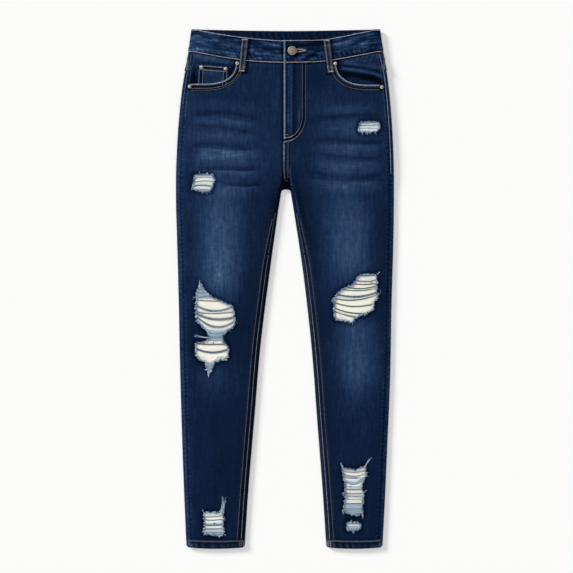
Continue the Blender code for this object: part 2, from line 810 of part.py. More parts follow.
def build_fly_shield(name, material, collection, cutters):
    foot = FLY_LAP_TOP
    waist = FRONT_BAND_BOTTOM - GAP
    outline = [(SHIELD_RIGHT_X, waist), (SHIELD_RIGHT_X, foot)]
    for angle in (-90.0, -60.0, -30.0, 0.0):
        turn = math.radians(angle)
        outline.append((SHIELD_LEFT_X - SHIELD_CORNER * (1.0 - math.cos(turn)),
                        foot + SHIELD_CORNER * (1.0 + math.sin(turn))))
    outline.append((SHIELD_LEFT_X, waist))

    def height(x, y):
        return top(x, y) - WALL - ZIP_TAPE_WALL - 2 * GAP

    return layer_object(name, outline, height, THIN_WALL, SHIELD_SPACING,
                        material, collection, cutters)


def build_zip(name, material, collection):
    """The tape, with the chain as a rib along it."""
    below = WALL + GAP
    rib_left, rib_right = ZIP_CHAIN_X
    low, high = ZIP_TAPE_X
    raised = ZIP_CHAIN_DEPTH
    profile = ((low, below), (rib_left, below), (rib_left + 0.2, raised), (rib_right - 0.2, raised),
               (rib_right, below), (high, below))
    grid = []
    for share in (0.0, 0.5, 1.0):
        y = blend(ZIP_FOOT, ZIP_TOP, share)
        row = []
        for x, depth in profile:
            surface = top(x, y)
            row.append(Skin(Vector((x, y, surface - depth)), UP, below + ZIP_TAPE_WALL - depth))
        grid.append(row)
    return wall_object(name, grid, material, collection)


def build_slider(name, material, collection):
    """The zip's slider, pulled up to the top of its chain."""
    width, length, height = SLIDER_SIZE
    x = sum(ZIP_CHAIN_X) / 2
    y = ZIP_TOP + GAP + length / 2
    bpy.ops.mesh.primitive_cube_add(size=1.0)
    slider = bpy.context.object
    slider.name = name
    slider.data.name = name
    for corner in slider.data.vertices:
        corner.co.x *= width * MM
        corner.co.y *= length * MM
        corner.co.z *= height * MM
    middle = top(x, y) - ZIP_CHAIN_DEPTH - height / 2
    slider.location = (x * MM, y * MM, middle * MM)
    bevel = slider.modifiers.new("rounded", "BEVEL")
    bevel.width = 0.4 * MM
    bevel.segments = 1
    slider.data.materials.append(material)
    move_to(slider, collection)
    return slider


# ---------------------------------------------------------------- back pockets and loops

def build_back_pocket(side, name, material, collection):
    x = CENTRE_X + side * POCKET_X
    outline = [(x + px, POCKET_TOP + py) for px, py in POCKET_SHAPE]
    return outline_object(name, outline, 0.0, PATCH_WALL, material, collection)


def loop_proud(y, band_bottom):
    """A belt loop steps down from the waistband to the panel below it."""
    return BAND_PROUD * smooth((y - band_bottom + STEP_LENGTH + 1.0) / STEP_LENGTH)


def build_front_loop(loop, material, collection):
    grid = []
    steps = 9
    for step in range(steps + 1):
        share = step / steps
        y = blend(loop.foot_y, loop.top_y, share)
        centre = blend(loop.foot_x, loop.top_x, share)
        row = []
        for across in (-0.5, 0.0, 0.5):
            x = centre + LOOP_WIDTH * across
            height = top(x, y) + loop_proud(y, front_band_bottom(x)) + GAP + PATCH_WALL
            row.append(Skin(Vector((x, y, height)), UP, PATCH_WALL))
        grid.append(row)
    return wall_object(loop.name, grid, material, collection)


def round_skin(side, distance, y):
    """A point on the outside of the waist, a distance round from the outermost line of its edge."""
    edge = Vector((outer_x(side, y), y))
    out = Vector((side, 0.0))
    quarter = math.pi / 2 * (EDGE_ROUND + BODY_EDGE / 2) / 2
    turn = clamp(-distance / quarter, -1.0, 1.0) * 90.0
    proud = loop_proud(y, BAND_SIDE_BOTTOM) * smooth((turn + 90.0) / 180.0)
    skin = fold_skin(edge, out, turn, proud, PATCH_WALL)
    beyond = max(0.0, abs(distance) - quarter)
    point = skin.point - Vector((side * beyond, 0.0, 0.0))
    return Skin(point, skin.normal, skin.wall)


def build_side_loop(loop, material, collection):
    """A loop that lies on the back of the side and turns round the edge at its foot."""
    grid = []
    rows = 10
    columns = 6
    for step in range(rows + 1):
        share = step / rows
        y = blend(loop.foot_y, loop.top_y, share)
        middle = blend(loop.foot_round, loop.top_round, share)
        row = []
        for k in range(columns + 1):
            distance = middle + LOOP_WIDTH * (k / columns - 0.5)
            skin = round_skin(loop.side, distance, y)
            outside = skin.point + skin.normal * (GAP + PATCH_WALL)
            row.append(Skin(outside, skin.normal, PATCH_WALL))
        grid.append(row)
    return wall_object(loop.name, grid, material, collection)


def build_back_loop(name, material, collection):
    low = BACK_LOOP_FOOT_Y
    high = back_band_top(CENTRE_X) - 1.0
    left = CENTRE_X - LOOP_WIDTH / 2
    right = CENTRE_X + LOOP_WIDTH / 2
    outline = [(left, low), (right, low), (right, high), (left, high)]
    return outline_object(name, outline, 0.0, PATCH_WALL, material, collection)


# ---------------------------------------------------------------- metal trim

def move_to(made, collection):
    for owner in list(made.users_collection):
        owner.objects.unlink(made)
    collection.objects.link(made)


def turned_object(name, profile, steps, place, material, collection):
    """A profile of radius and height, turned round Z at its place."""
    mesh = bpy.data.meshes.new(name)
    points = [(radius * MM, 0.0, height * MM) for radius, height in profile]
    mesh.from_pydata(points, [(k, k + 1) for k in range(len(points) - 1)], [])
    made = mesh_object(name, mesh, material, collection)
    screw = made.modifiers.new("turned", "SCREW")
    screw.axis = "Z"
    screw.steps = steps
    screw.render_steps = steps
    screw.use_merge_vertices = True
    screw.merge_threshold = 0.00001
    made.location = Vector(place) * MM
    return made


def build_button(name, material, collection):
    seat = top(BUTTON_X, BUTTON_Y) + BAND_PROUD + LAP_RISE + GAP
    place = (BUTTON_X, BUTTON_Y, seat)
    return turned_object(name, BUTTON_PROFILE, BUTTON_STEPS, place, material, collection)


def build_rivet(rivet, material, collection):
    """A rivet, seated on the highest of eight points round its rim."""
    seat = 0.0
    for eighth in range(8):
        turn = math.pi / 4 * eighth
        x = rivet.x + RIVET_RADIUS * math.cos(turn)
        y = rivet.y + RIVET_RADIUS * math.sin(turn)
        if rivet.seat == "coin":
            seat = max(seat, facing_height(-1)(x, y) + GAP + THIN_WALL)
        else:
            seat = max(seat, top(x, y))
    place = (rivet.x, rivet.y, seat + GAP)
    return turned_object(rivet.name, RIVET_PROFILE, RIVET_STEPS, place, material, collection)


# ---------------------------------------------------------------- the whole garment

def band_columns(side, first, steps):
    """Where the front of a waistband half is measured, from a place near the middle to its fold."""
    edge = outer_x(side, BAND_SIDE_BOTTOM)
    foot = edge - side * 2 * OUTSEAM_INSET
    return [blend(first, foot, k / steps) for k in range(steps + 1)] + [edge - side * OUTSEAM_INSET]


def main():
    clear_scene()
    jeans = new_collection("ripped_jeans")
    cutters = new_collection("cutters")

    denim = principled("denim", (0.011, 0.023, 0.060), 0.85)
    denim_under = principled("denim_wrong_side", (0.012, 0.022, 0.050), 0.88)
    cream = principled("backing_cloth", (0.80, 0.76, 0.66), 0.9)
    yarn = principled("loose_weft_yarn", (0.36, 0.45, 0.56), 0.9)
    brass = principled("aged_brass", (0.30, 0.25, 0.18), 0.4, 1.0)
    copper = principled("pale_copper", (0.62, 0.46, 0.36), 0.35, 1.0)
    tape = principled("zip_tape", (0.02, 0.03, 0.06), 0.8)

    for side, word in ((-1, "right"), (1, "left")):
        build_front_panel(side, "front_panel_" + word, denim, jeans, cutters)
        build_back_panel(side, "back_panel_" + word, denim, jeans)
        build_yoke(side, "yoke_" + word, denim, jeans)
        build_facing(side, "pocket_facing_" + word, denim, jeans, cutters)
        build_back_pocket(side, "back_pocket_" + word, denim, jeans)

    right_xs = [LAP_UNDER_X, 16.0, LAP_EDGE_X] + band_columns(-1, -30.0, 5)
    build_waistband(-1, "waistband_right", right_xs, denim, jeans)
    left_xs = [LAP_EDGE_X, 18.0, LAP_UNDER_X + 2.0, 48.0, 56.0, 65.0] + band_columns(1, 90.0, 4)
    build_waistband(1, "waistband_left", left_xs, denim, jeans)

    build_coin_pocket("coin_pocket", denim, jeans, cutters)
    build_fly_shield("fly_shield", denim_under, jeans, cutters)
    build_zip("zip", tape, jeans)
    build_slider("zip_slider", brass, jeans)
    build_button("waist_button", brass, jeans)
    for rivet in RIVETS:
        build_rivet(rivet, copper, jeans)
    for loop in FRONT_LOOPS:
        build_front_loop(loop, denim, jeans)
    for loop in SIDE_LOOPS:
        build_side_loop(loop, denim, jeans)
    build_back_loop("belt_loop_back", denim, jeans)
    for rip in RIPS:
        build_threads(rip, yarn, jeans, cutters)
    for backing in BACKINGS:
        build_backing(backing, cream, jeans, cutters)


main()
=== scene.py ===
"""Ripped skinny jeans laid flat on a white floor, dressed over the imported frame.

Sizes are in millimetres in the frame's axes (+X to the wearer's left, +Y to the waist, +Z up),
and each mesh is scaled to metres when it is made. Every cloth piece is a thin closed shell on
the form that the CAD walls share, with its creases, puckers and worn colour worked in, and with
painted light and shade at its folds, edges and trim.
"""
import math
from collections import namedtuple

import bpy
import numpy as np
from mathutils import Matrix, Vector
from mathutils.bvhtree import BVHTree


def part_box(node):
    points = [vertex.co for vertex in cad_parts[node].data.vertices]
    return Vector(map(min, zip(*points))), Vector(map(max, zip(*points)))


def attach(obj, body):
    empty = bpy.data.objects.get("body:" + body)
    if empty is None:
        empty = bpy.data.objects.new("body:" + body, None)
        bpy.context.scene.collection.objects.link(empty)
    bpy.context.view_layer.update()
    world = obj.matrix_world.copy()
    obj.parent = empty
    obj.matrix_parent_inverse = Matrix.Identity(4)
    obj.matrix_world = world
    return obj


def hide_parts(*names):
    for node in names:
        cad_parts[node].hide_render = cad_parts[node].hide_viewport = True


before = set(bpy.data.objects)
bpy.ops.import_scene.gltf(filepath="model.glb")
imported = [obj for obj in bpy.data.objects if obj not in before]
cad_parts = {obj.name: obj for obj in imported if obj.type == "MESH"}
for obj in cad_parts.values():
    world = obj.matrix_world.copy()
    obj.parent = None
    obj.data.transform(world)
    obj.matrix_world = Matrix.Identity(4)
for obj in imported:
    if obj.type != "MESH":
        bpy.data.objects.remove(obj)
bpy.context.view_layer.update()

MM = 0.001
RIGHT, LEFT = -1, 1
WORD = {RIGHT: "right", LEFT: "left"}

# ------------------------------------------------------------------ sizes shared with the CAD
# They are the CAD's own, but the hem bows 0.7 more and the band's sides reach 2.0 lower than
# the plain walls do, as in the photo.

CENTRE_X = 1.7
BODY_EDGE, BODY_MIDDLE, CROWN_REACH, EDGE_ROUND = 5.4, 6.2, 35.0, 3.5
HIP_LIFT, LIFT_TOP, LIFT_FOOT = 1.9, 240.0, 185.0
OUTSEAM_INSET, GAP = 8.0, 0.3
INSEAM_INSET, INSEAM_CROTCH_INSET, INSEAM_NARROWS = 13.0, 6.0, (30.0, 180.0)
HEM_DEPTH, HEM_END, HEM_BOW = 16.0, -504.2, 2.7
GAP_TOP, GAP_HALF_WIDTH, GAP_ROUND, CROTCH_SPREAD = 194.3, 9.3, 4.8, 30.0
BAND_HALF_WIDTH, BAND_CURVE, BAND_PROUD = 171.6, 1.8, 0.8
FRONT_BAND_TOP, FRONT_BAND_BOTTOM = 486.2, 441.6
BAND_SIDE_TOP, BAND_SIDE_BOTTOM, BACK_BAND_DIP = 506.1, 462.8, 3.6
LAP_EDGE_X, LAP_UNDER_X, LAP_RISE, LAP_SLOPE = -2.8, 38.0, 2.5, 25.0
YOKE_SIDE_Y, YOKE_CENTRE_Y = 430.0, 386.0
FLY_FOOT, FLY_LAP_TOP, FLY_UNDER_X = 288.0, 292.0, 4.0
FLY_RISE, FLY_RISE_X, FLY_RISE_SLOPE, FLY_RISE_FOOT = 1.5, 16.0, 30.0, 268.0
SHIELD_X, SHIELD_CORNER = (-12.0, 34.0), 14.0
MOUTH_CENTRE, MOUTH_HALF_WIDTH, MOUTH_TOP, MOUTH_DEPTH, MOUTH_ROUNDNESS = 162.0, 64.5, 444.5, 46.0, 2.5
FACING_UNDER, FACING_DROP, FACING_DIP = 14.0, 2.8, (0.6, 0.96)
COIN_OUTLINE = ((-168.0, 437.0), (-111.0, 433.0), (-114.0, 390.0), (-170.0, 390.0))
POCKET_X, POCKET_TOP = 98.0, 390.0
POCKET_SHAPE = ((-64, 0), (64, 0), (58, -118), (0, -142), (-58, -118))
LOOP_WIDTH, PATCH_WALL = 12.5, 1.6
BUTTON_X, BUTTON_Y = 13.6, 463.8
BACK_LOOP_FOOT_Y = 431.0

OUTER_EDGES = np.array([        # y, wearer's right, wearer's left
    (-506, -191.6, 189.3), (-412, -195.5, 194.4), (-318, -199.0, 198.6), (-178, -203.3, 204.3),
    (-37, -206.6, 207.0), (103, -210.5, 211.0), (203, -212.2, 212.3), (290, -209.0, 210.0),
    (368, -202.9, 204.7), (427, -194.9, 197.7), (466, -188.6, 191.0), (506, -183.0, 185.4)])
INNER_EDGES = np.array([
    (-506, -79.4, 81.1), (-396, -72.1, 73.9), (-256, -60.5, 63.1), (-115, -48.6, 52.2),
    (25, -31.3, 36.6), (142, -15.1, 19.2), (189.5, -7.6, 11.0)])

# Thickness of the shells
DENIM = 0.9
HEM_CLOTH = 1.7
BAND_CLOTH = 2.0
LINING = 0.8
SEAM_GAP = 0.06         # the back panels and yokes nearly touch at the centre, so no light comes through
STITCH_ROOM = 0.35      # the underside is this much off the floor, for its stitches

# ------------------------------------------------------------------ small maths


def clamp(value, low=0.0, high=1.0):
    return np.minimum(np.maximum(value, low), high)


def ease(value):
    t = clamp(value)
    return t * t * (3.0 - 2.0 * t)


def blend(start, end, share):
    return start + (end - start) * share


def bell(value, width):
    """One at zero, falling away over the width."""
    return np.exp(-(value / width) ** 2)


def bands(distance, *rows):
    """The sum of soft bands beside a line, each with its place, its width and its strength."""
    return sum(strength * bell(distance - place, width) for place, width, strength in rows)


def noise(u, v=0.0, seed=0):
    """Smooth noise from -1 to 1, with one bump to a unit."""
    u, v = np.broadcast_arrays(np.asarray(u, float), np.asarray(v, float))
    iu, iv = np.floor(u).astype(np.int64), np.floor(v).astype(np.int64)
    fu, fv = ease(u - iu), ease(v - iv)

    def corner(i, j):
        mixed = (i * 374761393 + j * 668265263 + seed * 974634777) & 0xFFFFFFFF
        mixed = ((mixed ^ (mixed >> 13)) * 1274126177) & 0xFFFFFFFF
        return ((mixed ^ (mixed >> 16)) & 0xFFFF) / 32767.5 - 1.0

    low = blend(corner(iu, iv), corner(iu + 1, iv), fu)
    high = blend(corner(iu, iv + 1), corner(iu + 1, iv + 1), fu)
    return blend(low, high, fv)


def along(table, column, y):
    """Reads a column of a table at y on a smooth curve through its rows."""
    ys, values = table[:, 0], table[:, column]
    y = clamp(np.asarray(y, float), ys[0], ys[-1])
    i = np.clip(np.searchsorted(ys, y, side="left") - 1, 0, len(ys) - 2)

    def slope(k):
        low, high = np.maximum(k - 1, 0), np.minimum(k + 1, len(ys) - 1)
        return (values[high] - values[low]) / (ys[high] - ys[low])

    span = ys[i + 1] - ys[i]
    t = (y - ys[i]) / span
    return ((2 * t ** 3 - 3 * t ** 2 + 1) * values[i] + (t ** 3 - 2 * t ** 2 + t) * span * slope(i)
            + (3 * t ** 2 - 2 * t ** 3) * values[i + 1] + (t ** 3 - t ** 2) * span * slope(i + 1))


def resample(line, step, closed=False):
    """Points at even steps along a polyline."""
    line = np.asarray(line, float)
    if closed:
        line = np.vstack([line, line[:1]])
    lengths = np.linalg.norm(np.diff(line, axis=0), axis=1)
    run = np.concatenate([[0.0], np.cumsum(lengths)])
    count = max(2, int(round(run[-1] / step)))
    at = np.linspace(0.0, run[-1], count, endpoint=not closed)
    return np.stack([np.interp(at, run, line[:, k]) for k in range(line.shape[1])], axis=1)


def nearest(points, line, closed=False):
    """Distance to a polyline, how far along it, and the nearest place on it."""
    a = np.asarray(line, float)
    b = np.roll(a, -1, axis=0) if closed else a[1:]
    a = a if closed else a[:-1]
    span = b - a
    length = np.linalg.norm(span, axis=1)
    run = np.concatenate([[0.0], np.cumsum(length)[:-1]])
    best = np.full(len(points), 1e9)
    reach = np.zeros(len(points))
    place = np.zeros((len(points), 2))
    for k in range(len(a)):
        t = clamp(((points - a[k]) @ span[k]) / max(length[k] ** 2, 1e-9))
        spot = a[k] + t[:, None] * span[k]
        distance = np.linalg.norm(points - spot, axis=1)
        closer = distance < best
        best[closer] = distance[closer]
        reach[closer] = run[k] + t[closer] * length[k]
        place[closer] = spot[closer]
    return best, reach, place


def within(points, outline):
    """True for the points inside a closed outline."""
    x, y = points[:, 0], points[:, 1]
    inside = np.zeros(len(points), bool)
    for (ax, ay), (bx, by) in zip(outline, np.roll(outline, -1, axis=0)):
        crosses = (ay > y) != (by > y)
        if ay != by:
            inside ^= crosses & (x < (bx - ax) * (y - ay) / (by - ay) + ax)
    return inside


def flattened(x, y):
    """The points of a grid as one list."""
    return np.stack([np.ravel(x), np.ravel(y)], axis=1)


def from_line(x, y, line, closed=False):
    """For each point of a grid, its distance to a line and how far along the line that is."""
    distance, run, _ = nearest(flattened(x, y), line, closed)
    return distance.reshape(np.shape(x)), run.reshape(np.shape(x))


def with_height(xy, z):
    """Points in the plane with their heights added."""
    return np.concatenate([xy, np.asarray(z)[..., None]], axis=-1)


def upright(points, way=1.0):
    """Normals straight up, or straight down for a way of -1, one for each point."""
    normals = np.zeros_like(points)
    normals[..., 2] = way
    return normals


def table(kind, rows):
    """Rows of plain values as rows with named columns."""
    return [kind(*row) for row in rows]


def grouped(kind, groups):
    """The same for rows in groups, where the group's name is the first column."""
    return [kind(name, *row) for name, rows in groups.items() for row in rows]


# ------------------------------------------------------------------ the shared form


# Worn cloth against the CAD's plain edge: height, and how far out the wearer's right and left
# edges swell, drawn in where the belt loops go round
SWELL = (
    (-510.0, -2.8, -3.0), (-504.2, -2.4, -2.6), (-500.8, 0.9, 0.4), (-470.0, 1.1, 0.4), (-300.0, 1.3, 0.3),
    (-100.0, 1.1, 0.6), (0.0, 0.7, 0.5), (60.0, 0.5, 0.6), (110.0, 0.8, 0.5), (170.0, 1.1, 0.1),
    (310.0, 1.1, 0.1), (350.0, 0.8, 0.0), (400.0, 0.6, 0.0), (420.0, 0.2, 0.0), (431.0, -0.9, -1.3),
    (440.0, -2.0, -1.9), (461.0, -2.2, -2.0), (468.0, -0.3, -0.2), (474.0, 0.2, 0.2), (510.0, 0.0, 0.1),
)


def outer_x(side, y):
    """The outer edge of a leg and hip, where the cloth folds over."""
    heights, right, left = np.array(SWELL).T
    swell = np.interp(y, heights, left if side > 0 else right)
    return along(OUTER_EDGES, 2 if side > 0 else 1, y) + side * swell


# The wearer's left inner edge swells below the crotch, and both turn in at the foot of the hem:
# how far, from what height down, and over what height
INNER_SWELL, INNER_SWELL_TOP, INNER_SWELL_REACH = 0.5, 190.0, 30.0
HEM_TURN, HEM_TURN_TOP, HEM_TURN_REACH = 2.4, -500.8, 3.4


def inner_x(side, y):
    """The inner edge of a leg, from the hem to the crotch."""
    y = np.asarray(y, float)
    swell = INNER_SWELL * ease((INNER_SWELL_TOP - y) / INNER_SWELL_REACH) if side > 0 else 0.0
    turn = HEM_TURN * clamp((HEM_TURN_TOP - y) / HEM_TURN_REACH)
    return along(INNER_EDGES, 2 if side > 0 else 1, y) - swell + side * turn


def lift(y):
    """How far the hips lie off the floor, on the back pockets and loops."""
    return HIP_LIFT * ease((y - LIFT_FOOT) / (LIFT_TOP - LIFT_FOOT))


def inseam_inset(y):
    """How far the inseam is from the inner edge, on top."""
    foot, head = INSEAM_NARROWS
    return blend(INSEAM_INSET, INSEAM_CROTCH_INSET, ease((y - foot) / (head - foot)))


def crown(x, y):
    """One in the middle of a leg and nought at its edges, with the distance to each edge."""
    x, y = np.broadcast_arrays(np.asarray(x, float), np.asarray(y, float))
    left = x > CENTRE_X
    side = np.where(left, 1.0, -1.0)
    outer = side * (np.where(left, outer_x(LEFT, y), outer_x(RIGHT, y)) - x)
    leg = side * (x - np.where(left, inner_x(LEFT, y), inner_x(RIGHT, y)))
    beside = np.maximum(0.0, np.abs(x - CENTRE_X) - GAP_HALF_WIDTH)
    above = np.hypot(beside, np.maximum(0.0, y - GAP_TOP))
    inner = np.where(y < GAP_TOP - GAP_ROUND, leg, above)
    full = np.sin(np.pi / 2 * clamp(outer / CROWN_REACH)) * np.sin(np.pi / 2 * clamp(inner / CROWN_REACH))
    return full, outer, inner


# Creases of the laid cloth: soft ridges (up) and troughs (down) that bow between two ends
Crease = namedtuple("Crease", "x0 y0 x1 y1 bow width height")
CREASES = table(Crease, (
    # whiskers fanning out from the crotch, wearer's right
    (-178, 330, -40, 318, -6, 9, 0.55), (-150, 306, -52, 300, -4, 7, -0.45),
    (-160, 296, -38, 292, -5, 8, 0.4), (-165, 262, -30, 262, 6, 10, 0.7), (-150, 240, -34, 246, 5, 7, -0.5),
    (-140, 224, -38, 222, 4, 8, 0.5), (-142, 196, -36, 196, 5, 8, 0.45), (-128, 178, -40, 184, 4, 7, -0.35),
    # whiskers, wearer's left
    (176, 344, 60, 352, 5, 9, 0.4), (184, 312, 52, 318, 5, 8, 0.45), (178, 282, 42, 276, -5, 9, 0.6),
    (150, 262, 44, 258, -4, 7, -0.4), (160, 242, 40, 238, -4, 8, 0.5), (150, 212, 40, 208, -4, 8, 0.45),
    (138, 196, 44, 190, -4, 7, -0.35),
    # long easy folds down the thighs
    (-124, 170, -118, 20, 5, 16, 0.5), (116, 168, 126, 24, -4, 15, 0.45),
    (-170, 150, -172, 40, 3, 10, -0.35), (182, 150, 180, 60, -3, 9, -0.3),
    # behind and around the knees
    (-186, -30, -196, -48, 2, 7, 0.4), (-100, -60, -64, -72, 3, 8, 0.45),
    (-98, -118, -60, -108, -3, 9, 0.4), (-180, -150, -120, -158, 4, 8, -0.35),
    (92, -84, 62, -74, 2, 8, 0.4), (186, -70, 150, -96, 4, 9, 0.4), (178, -124, 110, -132, -4, 10, 0.35),
    (100, -150, 66, -142, 2, 8, -0.3),
    # shins and ankles
    (-150, -190, -140, -330, 4, 12, 0.4), (132, -170, 138, -300, -4, 12, 0.45),
    (-180, -372, -112, -380, 4, 9, 0.3), (-96, -420, -84, -470, 2, 8, 0.35),
    (176, -352, 116, -344, -3, 9, 0.3), (96, -400, 90, -466, -2, 8, 0.35),
    (-176, -428, -176, -480, 2, 8, 0.3), (180, -420, 178, -478, -2, 8, 0.3),
))


def strokes(x, y, table):
    """The sum of soft bowed strokes, each tapering at both ends."""
    total = np.zeros(np.shape(x))
    for c in table:
        run = math.hypot(c.x1 - c.x0, c.y1 - c.y0)
        ux, uy = (c.x1 - c.x0) / run, (c.y1 - c.y0) / run
        t = ((x - c.x0) * ux + (y - c.y0) * uy) / run
        across = -(x - c.x0) * uy + (y - c.y0) * ux - c.bow * 4.0 * clamp(t) * (1.0 - clamp(t))
        ends = ease((t + 0.12) / 0.35) * ease((1.12 - t) / 0.35)
        total = total + c.height * bell(across, c.width) * ends
    return total


def top(x, y):
    """Height of the outside of the fronts: the CAD's form with the creases on it."""
    full, outer, inner = crown(x, y)
    soft = ease((outer - 4.0) / 16.0) * ease((inner - 4.0) / 16.0) * ease((455.0 - np.asarray(y)) / 40.0)
    relief = strokes(x, y, CREASES) + 0.22 * noise(np.asarray(x) / 24.0, np.asarray(y) / 30.0, 3)
    return lift(y) + BODY_EDGE + (BODY_MIDDLE - BODY_EDGE) * full + relief * soft


def band_share(x, width):
    """Nought at the centre and one at the sides, on the waistband's curve."""
    return clamp(np.abs(x - CENTRE_X) / width) ** BAND_CURVE


# Dips in the waistband's two front edges: place across, width and depth
TOP_DIPS = ((80.0, 46.0, 3.0), (-8.0, 30.0, 0.9))
BOTTOM_DIPS = ((76.0, 44.0, 1.7), (-80.0, 44.0, 0.8))


def front_band_top(x):
    share = band_share(x, BAND_HALF_WIDTH)
    return blend(FRONT_BAND_TOP, BAND_SIDE_TOP, share) - bands(x, *TOP_DIPS)


def front_band_bottom(x):
    share = band_share(x, BAND_HALF_WIDTH + OUTSEAM_INSET)
    return blend(FRONT_BAND_BOTTOM, BAND_SIDE_BOTTOM, share) - bands(x, *BOTTOM_DIPS)


def back_band_top(x):
    share = clamp(np.abs(x - CENTRE_X) / BAND_HALF_WIDTH)
    return BAND_SIDE_TOP - BACK_BAND_DIP * (1.0 - share ** 2) + 0.9 * (1.0 - share ** 6)


def back_band_bottom(x):
    return back_band_top(x) - (BAND_SIDE_TOP - BAND_SIDE_BOTTOM)


def yoke_y(side, x):
    """Height of the seam between the yoke and the back panel."""
    width = abs(float(outer_x(side, YOKE_SIDE_Y)) - CENTRE_X) - EDGE_ROUND
    return blend(YOKE_CENTRE_Y, YOKE_SIDE_Y, clamp(np.abs(x - CENTRE_X) / width))


def fly_rise(x, y):
    """How far the left front is raised over the right at the fly."""
    across = 1.0 - ease((x - FLY_RISE_X) / FLY_RISE_SLOPE)
    return FLY_RISE * across * ease((y - FLY_RISE_FOOT) / (FLY_FOOT - 2.0 - FLY_RISE_FOOT))


def lap_rise(x):
    """How far the band's left end is raised over the right one."""
    return LAP_RISE * (1.0 - ease((x - LAP_UNDER_X - 2.0) / LAP_SLOPE))


def fold_points(edge, normal, angle, proud):
    """Points and normals on the round fold at an edge: -90 degrees underneath, 90 on top."""
    foot = edge - normal * EDGE_ROUND
    high = top(foot[..., 0], foot[..., 1]) + proud
    low = lift(foot[..., 1]) + STITCH_ROOM
    turn = np.radians(angle)
    half = (high - low) / 2
    flat = edge - normal * (EDGE_ROUND * (1.0 - np.cos(turn)))[..., None]
    z = low + half * (1.0 + np.sin(turn))
    level = np.cos(turn) / EDGE_ROUND
    out = np.stack(np.broadcast_arrays(normal[..., 0] * level, normal[..., 1] * level, np.sin(turn) / half),
                   axis=-1)
    out /= np.linalg.norm(out, axis=-1, keepdims=True)
    return with_height(flat, z), out


# ------------------------------------------------------------------ worn colour of the denim, with painted light and shade in it
# Tone runs from 0, deep indigo, to 1, bleached.

Blob = namedtuple("Blob", "x y half_width half_height tone")
# Pale and dark patches of the wash; the dark ones at (-27, 112), (46, 120) and (-20, 168) beside the gap
# between the legs, and at (5, 430) just under the waistband, are painted shade.
WASH_AND_SHADE_PATCHES = table(Blob, (
    (-126, 92, 46, 104, 0.33), (-118, 20, 40, 60, 0.05), (118, 110, 42, 84, 0.29),
    (137, -146, 44, 74, 0.33), (-126, -178, 40, 44, 0.05), (120, 40, 40, 60, 0.08),
    (-112, 258, 74, 40, 0.10), (114, 258, 78, 66, 0.06), (-110, 196, 44, 24, 0.06),
    (-112, 330, 70, 30, 0.06), (112, 330, 46, 30, 0.04), (-150, -300, 60, 120, 0.02),
    (-168, -90, 24, 60, -0.03), (150, 400, 60, 60, -0.03), (104, 231, 34, 12, 0.09),
    (102, 267, 26, 9, 0.07), (102, 198, 26, 9, 0.07), (104, 346, 46, 8, 0.05), (36, 284, 22, 60, -0.05),
    (53, 411, 28, 28, -0.07), (100, 94, 22, 24, -0.06), (152, 108, 18, 44, 0.07), (138, -72, 30, 18, 0.09),
    (102, -166, 16, 40, -0.09), (162, -140, 16, 40, -0.04), (-134, 14, 24, 22, 0.10),
    (-143, -172, 24, 24, 0.05), (-73, 70, 18, 74, -0.05), (-80, -60, 14, 70, -0.04),
    (-112, -345, 28, 54, -0.05), (-142, 306, 44, 16, 0.06), (-190, 358, 14, 30, 0.05),
    (-152, 268, 22, 7, -0.05), (-70, 264, 30, 20, -0.04), (-112, 251, 32, 7, 0.07),
    (-104, 224, 34, 7, 0.06), (-142, 154, 44, 30, 0.04), (-20, 364, 10, 28, 0.05),
    (75, 330, 46, 12, -0.035), (118, 305, 28, 9, 0.05), (-104, 288, 16, 9, 0.04),
    (-180, 288, 24, 10, 0.035), (112, 270, 18, 8, 0.05), (92, 236, 34, 8, 0.05), (-77, 234, 18, 9, -0.05),
    (-160, 240, 16, 6, 0.05), (104, 216, 20, 9, 0.05), (98, 199, 26, 7, 0.05), (30, 182, 14, 12, -0.04),
    (152, 182, 28, 9, -0.05), (92, 182, 14, 9, 0.03), (46, 120, 20, 44, -0.04), (-27, 112, 8, 24, -0.04),
    (142, 46, 22, 22, 0.055), (-128, 22, 18, 28, 0.045), (144, -84, 30, 18, 0.065), (44, -20, 9, 60, 0.05),
    (-150, -164, 24, 14, 0.06), (135, -206, 44, 26, -0.045), (-72, -360, 10, 130, 0.03),
    (184, -400, 8, 90, 0.03), (62, -280, 12, 50, 0.035), (206, 265, 7, 60, -0.06), (22, 348, 10, 14, 0.04),
    (-20, 168, 6, 22, -0.10), (5, 430, 60, 9, -0.03), (132, -300, 44, 60, 0.01),
))

